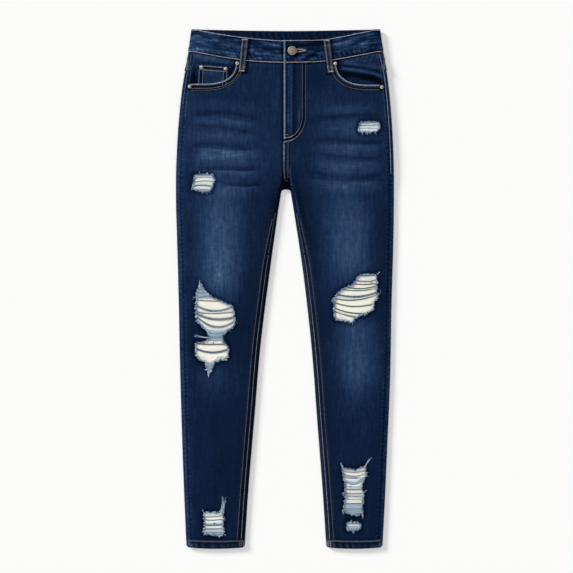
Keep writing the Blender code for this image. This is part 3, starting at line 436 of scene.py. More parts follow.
# Whiskers, bleached and dark by turns: ends, height at four even steps from end to end, how far
# each fades above and below, and its tone
Whisker = namedtuple("Whisker", "x0 x1 y0 y1 y2 y3 above below tone")
WHISKERS = table(Whisker, (
    (-188, -40, 362, 361, 357, 351, 8, 9, 0.05), (-194, -36, 339, 345, 339, 327, 4, 3.4, -0.085),
    (-188, -48, 331, 334, 326, 318, 3.6, 9, 0.14), (-178, -68, 328, 327, 323, 317, 2, 3, 0.07),
    (-190, -56, 320, 319, 311, 302, 2.4, 4, -0.08), (-192, -50, 304, 303, 300, 295, 3.6, 12, 0.11),
    (-198, -58, 276, 284, 278, 270, 6, 3, -0.085), (-190, -34, 273, 271.6, 269, 267, 1.6, 24, 0.20),
    (-176, -72, 268, 267, 265, 263, 3, 13, 0.10), (-190, -42, 238, 233, 230.5, 231, 8, 1.0, -0.10),
    (-152, -40, 230, 230.2, 228, 230, 1.4, 9, 0.16), (-136, -36, 207, 202, 200.5, 205, 6, 1.4, -0.11),
    (-140, -44, 196, 198, 198.4, 201, 1.5, 17, 0.13), (74, 184, 348, 354, 355, 350, 7, 8, 0.10),
    (54, 200, 333, 337, 340.5, 340, 3.4, 3.4, -0.085), (62, 148, 324, 326, 326, 322, 4, 27, 0.10),
    (42, 202, 287, 290, 286, 283, 7, 3, -0.08), (44, 198, 278.6, 280.8, 279.4, 280, 1.8, 13, 0.15),
    (48, 199, 266, 260, 255.6, 255, 2.4, 3, -0.10), (48, 199, 250, 247, 244, 246, 4, 15, 0.12),
    (92, 146, 241.5, 241, 240.4, 240, 1.5, 2.5, 0.07), (34, 202, 230, 220, 214, 226, 7, 2.4, -0.10),
    (34, 202, 214.4, 209, 207.2, 210, 1.6, 16, 0.14),
))


def whiskers(x, y):
    """The sum of the whiskers: crisp on top, ragged with vertical streaks below, wispy along."""
    total = np.zeros(np.shape(x))
    ragged = 1.0 + 0.35 * noise(x / 2.8, y / 70.0, 13) + 0.35 * noise(x / 12.0, 0.0, 14)
    for k, w in enumerate(WHISKERS):
        share = (x - w.x0) / (w.x1 - w.x0)
        line = np.interp(share, (0.0, 1 / 3, 2 / 3, 1.0), (w.y0, w.y1, w.y2, w.y3))
        off = y - line - 0.8 * noise(x / 9.0, 0.0, k)
        depth = np.where(off > 0.0, off / w.above, -off / (w.below * clamp(ragged, 0.4, 1.8)))
        strength = w.tone * np.exp(-depth ** 2) * ease(share / 0.22) * ease((1.0 - share) / 0.22)
        if w.tone > 0:
            wisps = 0.85 + 0.35 * noise(x / 20.0, off / 2.2, 30 + k) + 0.15 * noise(x / 2.4, y / 14.0, 12)
            strength = strength * clamp(wisps, 0.35, 1.5)
        total = total + strength
    return total


def wash_and_shade(x, y):
    """The tone of the washed cloth on top, darker towards the inner edges, with painted light and shade at
    the outer edges.
    """
    x, y = np.broadcast_arrays(np.asarray(x, float), np.asarray(y, float))
    _, outer, inner = crown(x, y)
    shade = 0.30 + 0.06 * ease((y - 120.0) / 160.0) - 0.01 * ease((-60.0 - y) / 200.0)
    for b in WASH_AND_SHADE_PATCHES:
        shade = shade + b.tone * np.exp(-np.abs((x - b.x) / b.half_width) ** 2.4
                                        - np.abs((y - b.y) / b.half_height) ** 2.4)
    shade = shade + whiskers(x, y)
    leg = ease((330.0 - y) / 100.0)
    # Darker towards the inner edges; painted light on the wearer's right outer edge, which faces the window
    # lamp, and painted shade on the wearer's left one, which faces away.
    shade = shade - 0.07 * (1.0 - ease(inner / 34.0)) * leg
    shade = shade + np.where(x < 0.0, 0.085, -0.05) * (1.0 - ease(outer / 30.0)) * leg
    light = clamp((shade - 0.3) / 0.3)
    streak = noise(x / 3.2, y / 40.0, 6) + 0.5 * noise(x / 2.0, y / 9.0, 7)
    return shade + 0.018 * noise(x / 34.0, y / 46.0, 5) + (0.003 + 0.028 * light) * streak


def pucker(run, seed, pitch=6.0):
    """Uneven puckers along a seam, from -1 to 1."""
    run = np.asarray(run, float)
    wander = run / pitch + 0.55 * noise(run / (pitch * 3.1), 0.0, seed)
    return np.sin(2.0 * np.pi * wander) * (0.65 + 0.35 * noise(run / (pitch * 2.3), 0.0, seed + 1))


# ------------------------------------------------------------------ materials


def linear(rgb):
    """A linear colour from plain 0 to 255 values."""
    return tuple(v / 12.92 if v <= 0.04045 else ((v + 0.055) / 1.055) ** 2.4 for v in (c / 255 for c in rgb))


class Graph:
    """A short way to write a material's nodes."""

    def __init__(self, name, roughness, metallic=0.0):
        self.material = bpy.data.materials.new(name)
        self.material.use_nodes = True
        self.tree = self.material.node_tree
        self.shader = self.tree.nodes["Principled BSDF"]
        self.shader.inputs["Roughness"].default_value = roughness
        self.shader.inputs["Metallic"].default_value = metallic
        self.coords = self.add("ShaderNodeTexCoord").outputs["Object"]

    def add(self, kind, **settings):
        node = self.tree.nodes.new(kind)
        for key, value in settings.items():
            setattr(node, key, value)
        return node

    def link(self, source, target):
        self.tree.links.new(source, target)

    def put(self, socket, value):
        if isinstance(value, bpy.types.NodeSocket):
            self.link(value, socket)
        else:
            socket.default_value = value

    def math(self, operation, a, b=0.0):
        node = self.add("ShaderNodeMath", operation=operation)
        self.put(node.inputs[0], a)
        self.put(node.inputs[1], b)
        return node.outputs[0]

    def pattern(self, kind, stretch, spin, **values):
        """A texture over the piece, stretched along its axes and turned about Z."""
        mapping = self.add("ShaderNodeMapping")
        mapping.inputs["Scale"].default_value = stretch
        mapping.inputs["Rotation"].default_value = (0.0, 0.0, spin)
        self.link(self.coords, mapping.inputs["Vector"])
        texture = self.add(kind)
        for key, value in values.items():
            texture.inputs[key.replace("_", " ")].default_value = value
        self.link(mapping.outputs["Vector"], texture.inputs["Vector"])
        return texture.outputs["Fac"]

    def noise(self, stretch, detail=3.0, rough=0.55):
        """Noise stretched by a different scale along each axis, in bumps to the metre."""
        return self.pattern("ShaderNodeTexNoise", stretch, 0.0, Scale=1.0, Detail=detail, Roughness=rough)

    def wave(self, scale, spin, warp=1.0):
        """Fine parallel ribs, a little wavy."""
        return self.pattern("ShaderNodeTexWave", (1.0, 1.0, 1.0), spin, Scale=scale, Distortion=warp,
                            Detail=1.0, Detail_Scale=2.0)

    def attribute(self, name, output="Fac"):
        return self.add("ShaderNodeAttribute", attribute_name=name).outputs[output]

    def ramp(self, value, stops):
        node = self.add("ShaderNodeValToRGB")
        band = node.color_ramp
        while len(band.elements) < len(stops):
            band.elements.new(0.5)
        for element, (place, rgb) in zip(band.elements, stops):
            element.position = place
            element.color = (*linear(rgb), 1.0)
        self.link(value, node.inputs["Fac"])
        return node.outputs["Color"]

    def varied(self, value, amount, pattern):
        """The value with a pattern's swing about its middle added to it."""
        swing = self.math("MULTIPLY", self.math("SUBTRACT", pattern, 0.5), amount)
        return self.math("ADD", value, swing)

    def bump(self, height, distance, strength=1.0):
        node = self.add("ShaderNodeBump")
        node.inputs["Distance"].default_value = distance
        node.inputs["Strength"].default_value = strength
        self.link(height, node.inputs["Height"])
        self.link(node.outputs["Normal"], self.shader.inputs["Normal"])


INDIGO = ((0.0, (2, 5, 15)), (0.14, (5, 15, 34)), (0.25, (11, 25, 49)), (0.33, (16, 33, 60)),
          (0.42, (25, 45, 76)), (0.50, (33, 54, 86)), (0.58, (42, 64, 96)), (0.66, (50, 74, 106)),
          (0.80, (75, 99, 130)), (0.92, (122, 145, 169)), (1.0, (176, 194, 208)))
GREY_LOOP = ((0.0, (4, 7, 16)), (0.25, (24, 30, 44)), (0.50, (54, 61, 76)), (0.75, (82, 90, 106)),
             (1.0, (140, 144, 154)))


def denim_material(name, stops=INDIGO):
    """Slubby yarn-dyed twill: vertical streaks at several sizes over the piece's own tone."""
    g = Graph(name, 0.92)
    tone = g.attribute("tone")
    swing = g.math("ADD", -0.02, g.math("MULTIPLY", tone, 1.85))
    slub = g.noise((240.0, 24.0, 120.0), 3.0, 0.6)
    yarn = g.noise((560.0, 80.0, 300.0), 2.0, 0.6)
    mottle = g.noise((125.0, 105.0, 110.0), 4.0, 0.62)
    cross = g.noise((55.0, 430.0, 200.0), 2.0, 0.5)
    twill = g.wave(330.0, math.radians(28.0))
    for pattern, amount in ((slub, 0.28), (yarn, 0.24), (mottle, 0.22), (cross, 0.11)):
        tone = g.varied(tone, g.math("MULTIPLY", swing, amount), pattern)
    tone = g.varied(tone, 0.03, twill)
    mixed = g.add("ShaderNodeMix", data_type="RGBA")
    g.link(g.attribute("grey"), mixed.inputs["Factor"])
    for socket, colours in (("A_Color", stops), ("B_Color", GREY_LOOP)):
        place = next(k for k in mixed.inputs if k.identifier == socket)
        g.link(g.ramp(tone, colours), place)
    g.link(next(k for k in mixed.outputs if k.identifier == "Result_Color"), g.shader.inputs["Base Color"])
    g.shader.inputs["Specular IOR Level"].default_value = 0.02
    height = g.math("ADD", g.math("MULTIPLY", twill, 0.35), g.math("MULTIPLY", yarn, 0.7))
    g.bump(g.math("ADD", height, slub), 0.00022)
    return g.material


def thread_material(name, roughness=0.85):
    """Yarn whose colour each thread brings with it, with a twist along it."""
    g = Graph(name, roughness)
    colour = g.attribute("colour", "Color")
    twist = g.wave(480.0, math.radians(40.0), 2.0)
    fleck = g.noise((700.0, 700.0, 700.0), 3.0)
    light = g.varied(g.varied(1.0, 0.22, twist), 0.30, fleck)
    mixed = g.add("ShaderNodeVectorMath", operation="SCALE")
    g.link(colour, mixed.inputs[0])
    g.link(light, mixed.inputs["Scale"])
    g.link(mixed.outputs["Vector"], g.shader.inputs["Base Color"])
    g.shader.inputs["Specular IOR Level"].default_value = 0.12
    g.bump(twist, 0.00012)
    return g.material


def backing_material(name):
    g = Graph(name, 0.92)
    tone = g.varied(g.attribute("tone"), 0.16, g.noise((60.0, 90.0, 60.0), 4.0))
    weave = g.wave(300.0, 0.0, 0.6)
    cross = g.wave(300.0, math.radians(90.0), 0.6)
    tone = g.varied(g.varied(tone, 0.10, weave), 0.10, cross)
    stops = ((0.0, (110, 108, 100)), (0.35, (196, 192, 178)), (0.60, (240, 234, 216)),
             (0.80, (250, 245, 229)), (1.0, (253, 253, 248)))
    g.shader.inputs["Specular IOR Level"].default_value = 0.1
    g.link(g.ramp(tone, stops), g.shader.inputs["Base Color"])
    g.bump(g.math("ADD", weave, cross), 0.00015)
    return g.material


def metal_material(name, dark, light, roughness):
    g = Graph(name, roughness, 1.0)
    wear = g.varied(g.attribute("tone"), 0.5, g.noise((420.0, 420.0, 420.0), 5.0, 0.65))
    g.link(g.ramp(wear, ((0.1, dark), (0.9, light))), g.shader.inputs["Base Color"])
    grain = g.noise((1600.0, 1600.0, 1600.0), 3.0)
    g.link(g.varied(roughness, 0.25, grain), g.shader.inputs["Roughness"])
    g.bump(grain, 0.00006)
    return g.material


MATERIAL = {
    "denim": denim_material("indigo_denim"),
    "loop": denim_material("faded_loop_denim", GREY_LOOP),
    "thread": thread_material("topstitch_thread"),
    "weft": thread_material("loose_weft_yarn", 0.95),
    "backing": backing_material("cream_backing"),
    "brass": metal_material("aged_brass", (40, 36, 32), (146, 138, 126), 0.42),
    "copper": metal_material("pale_copper", (14, 14, 16), (190, 176, 162), 0.36),
}

# ------------------------------------------------------------------ meshes

surfaces = {"verts": [], "faces": [], "count": 0}      # every outside skin, for laying stitches on


def mesh_piece(name, points, faces, values, kind, nodes=(), body="root"):
    """A piece from points in millimetres, with its attributes and material."""
    mesh = bpy.data.meshes.new(name)
    mesh.from_pydata((points * MM).tolist(), [], faces)
    for key, data in values.items():
        if data.ndim == 2:
            layer = mesh.attributes.new(key, "FLOAT_COLOR", "POINT")
            layer.data.foreach_set("color", np.c_[data, np.ones(len(data))].astype(np.float32).ravel())
        else:
            layer = mesh.attributes.new(key, "FLOAT", "POINT")
            layer.data.foreach_set("value", data.astype(np.float32))
    mesh.shade_smooth()
    mesh.set_sharp_from_angle(angle=math.radians(50.0))
    mesh.materials.append(MATERIAL[kind])
    piece = bpy.data.objects.new(name, mesh)
    bpy.context.scene.collection.objects.link(piece)
    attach(piece, body)
    if nodes:
        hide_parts(*nodes)
    return piece


def rim_edges(quads, count):
    """The edges that only one quad has, each in that quad's direction."""
    directed = np.concatenate([quads[:, [k, (k + 1) % 4]] for k in range(4)])
    keys = directed[:, 0] * count + directed[:, 1]
    back = directed[:, 1] * count + directed[:, 0]
    return directed[~np.isin(keys, back)]


def shell(name, outside, normals, thickness, tone, keep=None, inside_tone=0.62, kind="denim", nodes=(),
          grey=0.0):
    """A closed thin shell: the outside grid, the same grid a thickness below it, and its rims."""
    rows, columns = outside.shape[:2]
    if keep is None:
        keep = np.ones((rows - 1, columns - 1), bool)
    used = np.zeros((rows, columns), bool)
    for di in (0, 1):
        for dj in (0, 1):
            used[di:rows - 1 + di, dj:columns - 1 + dj] |= keep
    number = np.full((rows, columns), -1)
    number[used] = np.arange(used.sum())
    count = int(used.sum())

    def over(values):
        return np.broadcast_to(values, (rows, columns))

    under = outside - normals * over(thickness)[..., None]
    points = np.concatenate([outside[used], under[used]])
    i, j = np.nonzero(keep)
    quads = np.stack([number[i, j], number[i, j + 1], number[i + 1, j + 1], number[i + 1, j]], axis=1)
    sample = len(quads) // 2
    a, b, c, d = (points[quads[sample, k]] for k in range(4))
    if np.dot(np.cross(c - a, d - b), normals[i[sample], j[sample]]) < 0:
        quads = quads[:, ::-1]
    rim = rim_edges(quads, count)
    wall = np.stack([rim[:, 1], rim[:, 0], rim[:, 0] + count, rim[:, 1] + count], axis=1)
    faces = np.concatenate([quads, quads[:, ::-1] + count, wall]).tolist()
    surfaces["verts"].append(outside[used])
    surfaces["faces"] += (quads + surfaces["count"]).tolist()
    surfaces["count"] += count
    values = {"tone": np.concatenate([over(tone)[used], over(inside_tone)[used]]),
              "grey": np.tile(over(grey)[used], 2)}
    return mesh_piece(name, points, faces, values, kind, nodes)


def trimmed(xy, outline, cut_inside, spacing):
    """Snaps a grid to an outline; returns the moved grid and which points are on the cut side."""
    flat = xy.reshape(-1, 2).copy()
    low, high = outline.min(axis=0) - 2 * spacing, outline.max(axis=0) + 2 * spacing
    near = np.all((flat > low) & (flat < high), axis=1)
    gone = np.zeros(len(flat), bool) if cut_inside else ~near
    picked = np.nonzero(near)[0]
    if len(picked):
        distance, _, place = nearest(flat[picked], outline, closed=True)
        inside = within(flat[picked], outline)
        removed = inside if cut_inside else ~inside
        signed = np.where(removed, -distance, distance)
        lost = signed < 0.45 * spacing
        gone[picked[lost]] = True
        snap = lost & (distance < 1.6 * spacing)
        flat[picked[snap]] = place[snap]
    return flat.reshape(xy.shape), gone.reshape(xy.shape[:2])


def kept_cells(gone):
    """A cell stays if any of its corners is well inside the cloth."""
    stays = ~gone
    return stays[:-1, :-1] | stays[1:, :-1] | stays[:-1, 1:] | stays[1:, 1:]


def layer(name, outline, height, thickness, tone, spacing=2.0, up=1.0, **options):
    """A flat-lying layer: a grid trimmed to an outline, at the given height."""
    outline = np.asarray(outline, float)
    edge = resample(outline, spacing * 0.8, closed=True)
    low, high = outline.min(axis=0) - spacing, outline.max(axis=0) + spacing
    xs = np.arange(low[0], high[0] + spacing, spacing)
    ys = np.arange(low[1], high[1] + spacing, spacing)
    xy, gone = trimmed(np.stack(np.meshgrid(xs, ys), axis=-1), edge, False, spacing)
    x, y = xy[..., 0], xy[..., 1]
    outside = with_height(xy, height(x, y))
    return shell(name, outside, upright(outside, up), thickness, tone(x, y), kept_cells(gone), **options)


class Tubes:
    """Many thin threads gathered into one mesh."""

    def __init__(self, sides=4):
        self.sides = sides
        self.points, self.faces, self.colours, self.count = [], [], [], 0

    def add(self, paths, radius, colours, ups=(0.0, 0.0, 1.0)):
        """Threads of equal numbers of points: paths (n, m, 3), radius (n, m), colours (n, 3)."""
        paths = np.asarray(paths, float)
        if not len(paths):
            return
        n, m = paths.shape[:2]
        k = self.sides
        radius = np.broadcast_to(radius, (n, m))
        tangent = np.gradient(paths, axis=1)
        tangent /= np.linalg.norm(tangent, axis=-1, keepdims=True) + 1e-12
        up = np.broadcast_to(np.asarray(ups, float), paths.shape)
        side = np.cross(tangent, up)
        weak = np.linalg.norm(side, axis=-1, keepdims=True) < 0.1
        side = np.where(weak, np.cross(tangent, np.array([1.0, 0.0, 0.0])), side)
        side /= np.linalg.norm(side, axis=-1, keepdims=True) + 1e-12
        over = np.cross(side, tangent)
        angle = 2 * np.pi * np.arange(k) / k
        ring = (side[:, :, None] * np.cos(angle)[:, None] + over[:, :, None] * np.sin(angle)[:, None])
        points = paths[:, :, None] + ring * radius[:, :, None, None]
        index = self.count + np.arange(n * m * k).reshape(n, m, k)
        turned = np.roll(index, -1, axis=2)
        walls = np.stack([index[:, :-1], index[:, 1:], turned[:, 1:], turned[:, :-1]], axis=-1)
        self.faces += walls.reshape(-1, 4).tolist()
        self.faces += index[:, 0].tolist() + index[:, -1, ::-1].tolist()
        self.points.append(points.reshape(-1, 3))
        self.colours.append(np.repeat(np.asarray(colours, float), m * k, axis=0))
        self.count += n * m * k

    def piece(self, name, kind, nodes=()):
        return mesh_piece(name, np.concatenate(self.points), self.faces,
                          {"colour": np.concatenate(self.colours)}, kind, nodes)


# ------------------------------------------------------------------ rips

Rip = namedtuple("Rip", "name x y outline")
RIPS = (
    Rip("thigh_right", -162, 205,
        ((-16, 19), (19, 19), (27, 7), (17, -17), (3, -17), (-14, -13), (-20, -11), (-17, 11))),
    Rip("thigh_left", 164.4, 314.6,
        ((-17, 12), (20, 12), (21, 0), (16, -10), (-21, -11), (-22, 0))),
    Rip("knee_right", -141, -79,
        ((-24, 95), (-30, 77), (-34, 72), (-34, 22), (-27, 10), (-16, 0), (-10, -8), (-8, -14),
         (-11, -21), (-20, -23), (-32, -24), (-36, -31), (-35, -49), (-27, -61), (-16, -63), (-7, -95),
         (4, -65), (28, -57), (32, -52), (30, -32), (22, -24), (19, -15), (28, -5), (45, 9), (42, 42),
         (33, 50), (22, 54), (-6, 67), (-17, 81))),
    Rip("knee_left", 141, -19,
        ((4, 48), (38, 49), (40, 31), (40, 1), (32, -12), (32, -22), (21, -29), (-3, -39), (-9, -49),
         (-46, -40), (-47, -24), (-46, 1), (-38, 15), (-11, 29), (-3, 38))),
    Rip("ankle_right", -132, -448,
        ((-29, 14), (12, 14), (13, 0), (13, -24), (14, -31), (7, -35), (-27, -30), (-27, -10))),
    Rip("ankle_left", 136, -379,
        ((-27, 37), (-20, 31), (-2, 27), (16, 32), (22, 40), (22, 18), (16, -5), (18, -23),
         (16, -43), (18, -63), (-10, -63), (-23, -53), (-20, -27), (-21, 4), (-26, 25))),
    Rip("ankle_left_small", 134, -463,
        ((-15, 9), (14, 9), (14, -9), (-15, -9))),
)
Backing = namedtuple("Backing", "name left right bottom top whiteness rips")
BACKINGS = (
    Backing("thigh_right", -194, -124, 176, 236, 0.30, ("thigh_right",)),
    Backing("thigh_left", 131, 197, 293, 342, 0.26, ("thigh_left",)),
    Backing("knee_right", -190, -85, -190, 26, 0.07, ("knee_right",)),
    Backing("knee_left", 83, 192, -81, 42, 0.05, ("knee_left",)),
    Backing("ankle_right", -172, -101, -486, -394, 0.16, ("ankle_right",)),
    Backing("ankle_left", 97, 174, -484, -317, 0.14, ("ankle_left", "ankle_left_small")),
)

# Stripes of loose weft across each rip, from its middle: height at the left edge, in the middle
# and at the right edge, width of the stripe, and the yarn it shows. The stripes of dark yarn,
# laid just under paler ones, are painted shadow lines.
Stripe = namedtuple("Stripe", "left middle right width yarn")
STRIPES = {name: table(Stripe, rows) for name, rows in {
    "thigh_right": (
        (17.6, 19.8, 18, 2.4, "blue"), (12.8, 15.8, 14.2, 2.8, "snow"), (10.0, 12.6, 11.2, 1.6, "moss"),
        (7.0, 9.4, 8, 3.8, "snow"), (2.8, 5.6, 3.6, 2.2, "ash"), (-1.4, 2.0, -2.0, 3.4, "snow"),
        (-5.0, -2.6, -5.4, 3.2, "ash"), (-9.0, -7.0, -9.4, 3.6, "snow"), (-12.2, -10.8, -12.4, 1.6, "moss"),
        (-14.8, -14.0, -15, 3.0, "snow")),
    "thigh_left": (
        (10.4, 11.2, 11.0, 1.6, "blue"), (6.2, 8.0, 8.4, 3.4, "snow"), (3.4, 4.4, 4.6, 1.8, "teal"),
        (0.6, 1.2, 2.4, 3.4, "ice"), (-2.0, -1.8, -1.6, 1.4, "ash"), (-6.2, -5.8, -4.8, 5.4, "snow"),
        (-9, -9, -8.4, 2.0, "pale")),
    "knee_right": (
        (76, 77, 78, 36, "pale"), (58.8, 58.4, 58, 2.4, "white"), (57, 55.8, 55, 1.6, "dark"),
        (45.6, 35.6, 45, 4.4, "line"), (38, 32.6, 40, 2.4, "white"), (33.4, 31.2, 34, 1.6, "dark"),
        (28.4, 19.6, 24, 4.4, "line"), (13, 4.4, 12, 4.2, "line"), (6, -0.6, 3, 3.8, "white"),
        (-11, -12.6, -11, 22, "pale"), (-23, -25.2, -24, 3.8, "white"), (-27.8, -29.4, -28.6, 1.8, "dark"),
        (-37.6, -45, -39, 4.2, "line"), (-58, -62, -58, 3.0, "white"), (-80, -80, -80, 34, "pale")),
    "knee_left": (
        (47, 48, 48, 3.6, "blue"), (44.4, 44.2, 45, 1.2, "dark"), (40, 39.6, 42, 5.6, "white"),
        (35.4, 33.4, 36.4, 2.2, "teal"), (31.8, 30.4, 32.4, 2.4, "white"), (29, 27.6, 30, 1.6, "dark"),
        (23, 19.8, 25, 2.6, "teal"), (20.6, 17.8, 22, 1.4, "white"), (18.6, 15.8, 21, 1.3, "dark"),
        (8.8, 3.8, 12.2, 3.6, "line"), (4.4, 0.0, 9.0, 2.8, "white"), (0.2, -2.8, 7.0, 1.8, "dark"),
        (-7.8, -15.2, -10.2, 2.8, "teal"), (-18.4, -27.6, -28.4, 2.8, "teal"),
        (-21.4, -30.2, -33, 2.6, "white"), (-25.2, -33.0, -36.6, 1.8, "dark"),
        (-29.6, -38.4, -42, 3.4, "white"), (-36, -42, -45, 3.4, "white")),
    "ankle_right": (
        (12, 12.4, 13, 4.0, "blue"), (6.6, 7.2, 8.6, 2.4, "snow"), (3.8, 4.0, 6.2, 2.2, "line"),
        (-2.6, -2.8, -1.6, 1.8, "moss"), (-6.2, -6.6, -5.8, 3.8, "snow"), (-11.6, -12, -11, 5.2, "blue"),
        (-17, -17.2, -16.2, 2.8, "snow"), (-20.2, -20.4, -19.6, 2.2, "line"),
        (-23.6, -24, -23.4, 3.2, "ice"), (-27, -27.4, -26.8, 1.8, "line"), (-30, -31, -30.4, 3.6, "pale")),
    "ankle_left": (
        (35.4, 30.4, 39, 4.0, "blue"), (29, 24.6, 30.4, 4.0, "white"), (23.6, 21, 25, 1.5, "line"),
        (17.2, 13.8, 17.2, 1.6, "dark"), (11, 10, 9, 4.0, "blue"), (8, 6.8, 13, 3.4, "white"),
        (3.6, -0.4, 6.4, 6.4, "blue"), (-5.6, -8, -6, 4.8, "ice"), (-12.2, -12.6, -12, 2.4, "line"),
        (-16.4, -17.4, -16.6, 3.4, "white"), (-20.8, -21, -20.6, 1.6, "dark"),
        (-24.6, -25.4, -24.6, 5.0, "pale"), (-31, -31.6, -31, 1.6, "line"), (-36, -36.4, -36, 3.4, "snow"),
        (-39.6, -39.8, -39.6, 1.8, "line"), (-51, -51, -51, 22, "pale")),
    "ankle_left_small": (
        (6, 6.4, 6, 5.0, "blue"), (2.6, 2.4, 2.2, 3.0, "white"), (-4, -4, -4, 9.0, "pale")),
}.items()}
YARNS = {
    "line": ((108, 132, 150), (94, 118, 138), (132, 154, 168), (80, 104, 126), (156, 174, 184)),
    "teal": ((88, 108, 116), (70, 92, 104), (112, 132, 138), (134, 154, 158)),
    # Dark threads laid just under paler stripes, as painted shadow lines.
    "dark": ((84, 92, 94), (68, 78, 84), (104, 112, 110)),
    "moss": ((120, 126, 118), (100, 108, 104), (146, 152, 144)),
    "ash": ((140, 152, 158), (122, 136, 146), (164, 176, 180)),
    "snow": ((240, 251, 253), (248, 255, 255), (228, 243, 250), (246, 253, 250)),
    "ice": ((204, 222, 232), (186, 210, 224), (220, 234, 238), (164, 192, 206), (234, 242, 246)),
    "white": ((246, 250, 248), (252, 254, 252), (234, 242, 246), (248, 248, 238)),
    "pale": ((150, 175, 194), (132, 158, 180), (176, 197, 210), (202, 217, 225), (114, 141, 166)),
    "blue": ((104, 134, 165), (82, 112, 146), (134, 160, 184), (160, 182, 202)),
}
FRINGE = ((128, 158, 188), (164, 190, 212), (200, 216, 230), (92, 124, 160), (236, 244, 248), (60, 92, 132))

# Tufts of longer threads: a start and a reach from the rip's middle, threads and their spread
Tuft = namedtuple("Tuft", "rip x y dx dy threads spread")
TUFTS = grouped(Tuft, {
    "thigh_right": (
        (-5, 20, 0, 6, 2, 0.6), (1, -16, 0, -6, 2, 0.6), (9, -16, 1, -5, 2, 0.6),
        (-19, -10, -3, -2, 3, 2.0), (22, 7, 5, 0, 5, 2.4)),
    "thigh_left": (
        (-13, -9, -1, -5, 3, 1.4), (-4, -9, 0, -6, 2, 0.4), (10, -8, 4, -6, 3, 0.8), (18, 1, 4, 1, 3, 1.2)),
    "knee_right": (
        (-26, 82, 2, 14, 9, 2.2), (43, 18, 5, -8, 2, 1.0), (-10, -15.6, -22, 1, 6, 1.8),
        (-33, -14, -3, 3, 4, 2.4), (28, -60, -14, 1, 6, 2.0), (-7, -80, 0, -14, 7, 2.6),
        (-36, 60, -3, 4, 4, 8.0), (-30, 16, -4, 1, 4, 4.0)),
    "knee_left": (
        (39, 47, 4, 9, 3, 0.7), (-42, -39, 1, -5, 4, 1.6), (-10, -46, -1, -6, 3, 1.2),
        (40, 12, 5, -4, 6, 8.0), (-46, -4, -5, 2, 5, 9.0)),
    "ankle_right": (
        (8.5, 11, 7.5, 29, 13, 5.2), (3, 13, 9, 11, 4, 1.0), (15, 32, 4, 2, 2, 0.6),
        (-27, 13, -3, 4, 3, 1.0), (-22, -28, -4, -5, 5, 2.4), (6, -32, -2, -5, 5, 3.0),
        (14, -30, 3, -4, 4, 2.0)),
    "ankle_left": (
        (-23, 31, -6, 7, 5, 1.4), (20, 33, 9, 17, 8, 2.0), (22, 16, 4, -3, 5, 4.0), (17, -18, 7, 4, 3, 1.0),
        (16, -62, -4, -11, 2, 0.4), (15, -60, 2, -6, 6, 3.0), (-22, -52, -1, -8, 6, 3.0),
        (-20, -20, -4, 2, 5, 6.0)),
    "ankle_left_small": ((-5, 8, 0, 6, 3, 1.0), (-2, -9, 1, -5, 4, 2.0)),
})

# Small dark tangles on the strands
Knot = namedtuple("Knot", "rip x y width")
KNOTS = grouped(Knot, {
    "knee_right": ((-6, 36.4, 2.0), (-6, 21, 1.6), (35, 21.5, 1.6), (1, -26, 1.6), (-22, 30, 1.4)),
    "knee_left": ((2, 3.8, 4.4), (-6, 5.0, 2.4), (10, 5.6, 1.6), (27, 31, 1.4)),
    "ankle_right": ((-6, -9, 1.6),),
    "ankle_left": ((2, 10, 1.8), (-8, -6, 1.6)),
})

HOLE_INSET = 2.6        # the cloth's torn edge inside the reach of its frayed ends
TORN_STEP = 1.4         # between the points of a torn edge
YARN_PITCH = 0.64       # between the yarns of a stripe


def sideways(line, step=1):
    """Unit vectors across a closed line, to the right of its run."""
    ahead = np.roll(line, -step, axis=0) - np.roll(line, step, axis=0)
    across = np.stack([ahead[:, 1], -ahead[:, 0]], axis=1)
    return across / np.linalg.norm(across, axis=1, keepdims=True)


def torn(rip):
    """The torn edge: the rip's outline moved in by its frayed ends, and ragged."""
    outline = np.array(rip.outline, float) + (rip.x, rip.y)
    edge = resample(outline, 1.2, closed=True)
    inward = sideways(edge)
    if within(edge + inward * 0.5, outline).mean() < 0.5:
        inward = -inward
    moved = edge + inward * HOLE_INSET
    distance, _, _ = nearest(moved, outline, closed=True)
    moved = resample(moved[distance > HOLE_INSET * 0.93], TORN_STEP, closed=True)
    run = np.arange(len(moved)) * TORN_STEP
    seed = int(abs(rip.x) + abs(rip.y))
    rough = 0.8 * noise(run / 5.0, 0.0, seed) + 0.6 * noise(run / 2.2, 0.0, seed + 1)
    return moved + sideways(moved) * rough[:, None]


TORN = {rip.name: torn(rip) for rip in RIPS}


def stripe_line(rip, stripe, x):
    """Height of a stripe's middle line at x, and where it meets the torn edge."""
    edge = TORN[rip.name]
    level = rip.y + stripe.middle
    nxt = np.roll(edge, -1, axis=0)
    crossing = (edge[:, 1] > level) != (nxt[:, 1] > level)
    a, b = edge[crossing], nxt[crossing]
    if not len(a):
        span = (edge[:, 0].min(), edge[:, 0].max())
    else:
        xs = a[:, 0] + (level - a[:, 1]) / (b[:, 1] - a[:, 1]) * (b[:, 0] - a[:, 0])
        span = (xs.min(), xs.max())
    share = (x - span[0]) / max(span[1] - span[0], 4.0)
    sag = stripe.middle - (stripe.left + stripe.right) / 2
    share = clamp(share, -0.3, 1.3)
    return rip.y + blend(stripe.left, stripe.right, share) + sag * 4.0 * share * (1.0 - share)


def over_hole(x, y, edge):
    """How far a point is inside the torn edge; less than nought over the cloth."""
    flat = flattened(x, y)
    distance, _, _ = nearest(flat, edge, closed=True)
    return np.where(within(flat, edge), distance, -distance).reshape(np.shape(x))


def spans(flags):
    """Start and end of each run of true flags."""
    padded = np.concatenate([[0], flags.astype(int), [0]])
    return np.flatnonzero(np.diff(padded)).reshape(-1, 2).tolist()


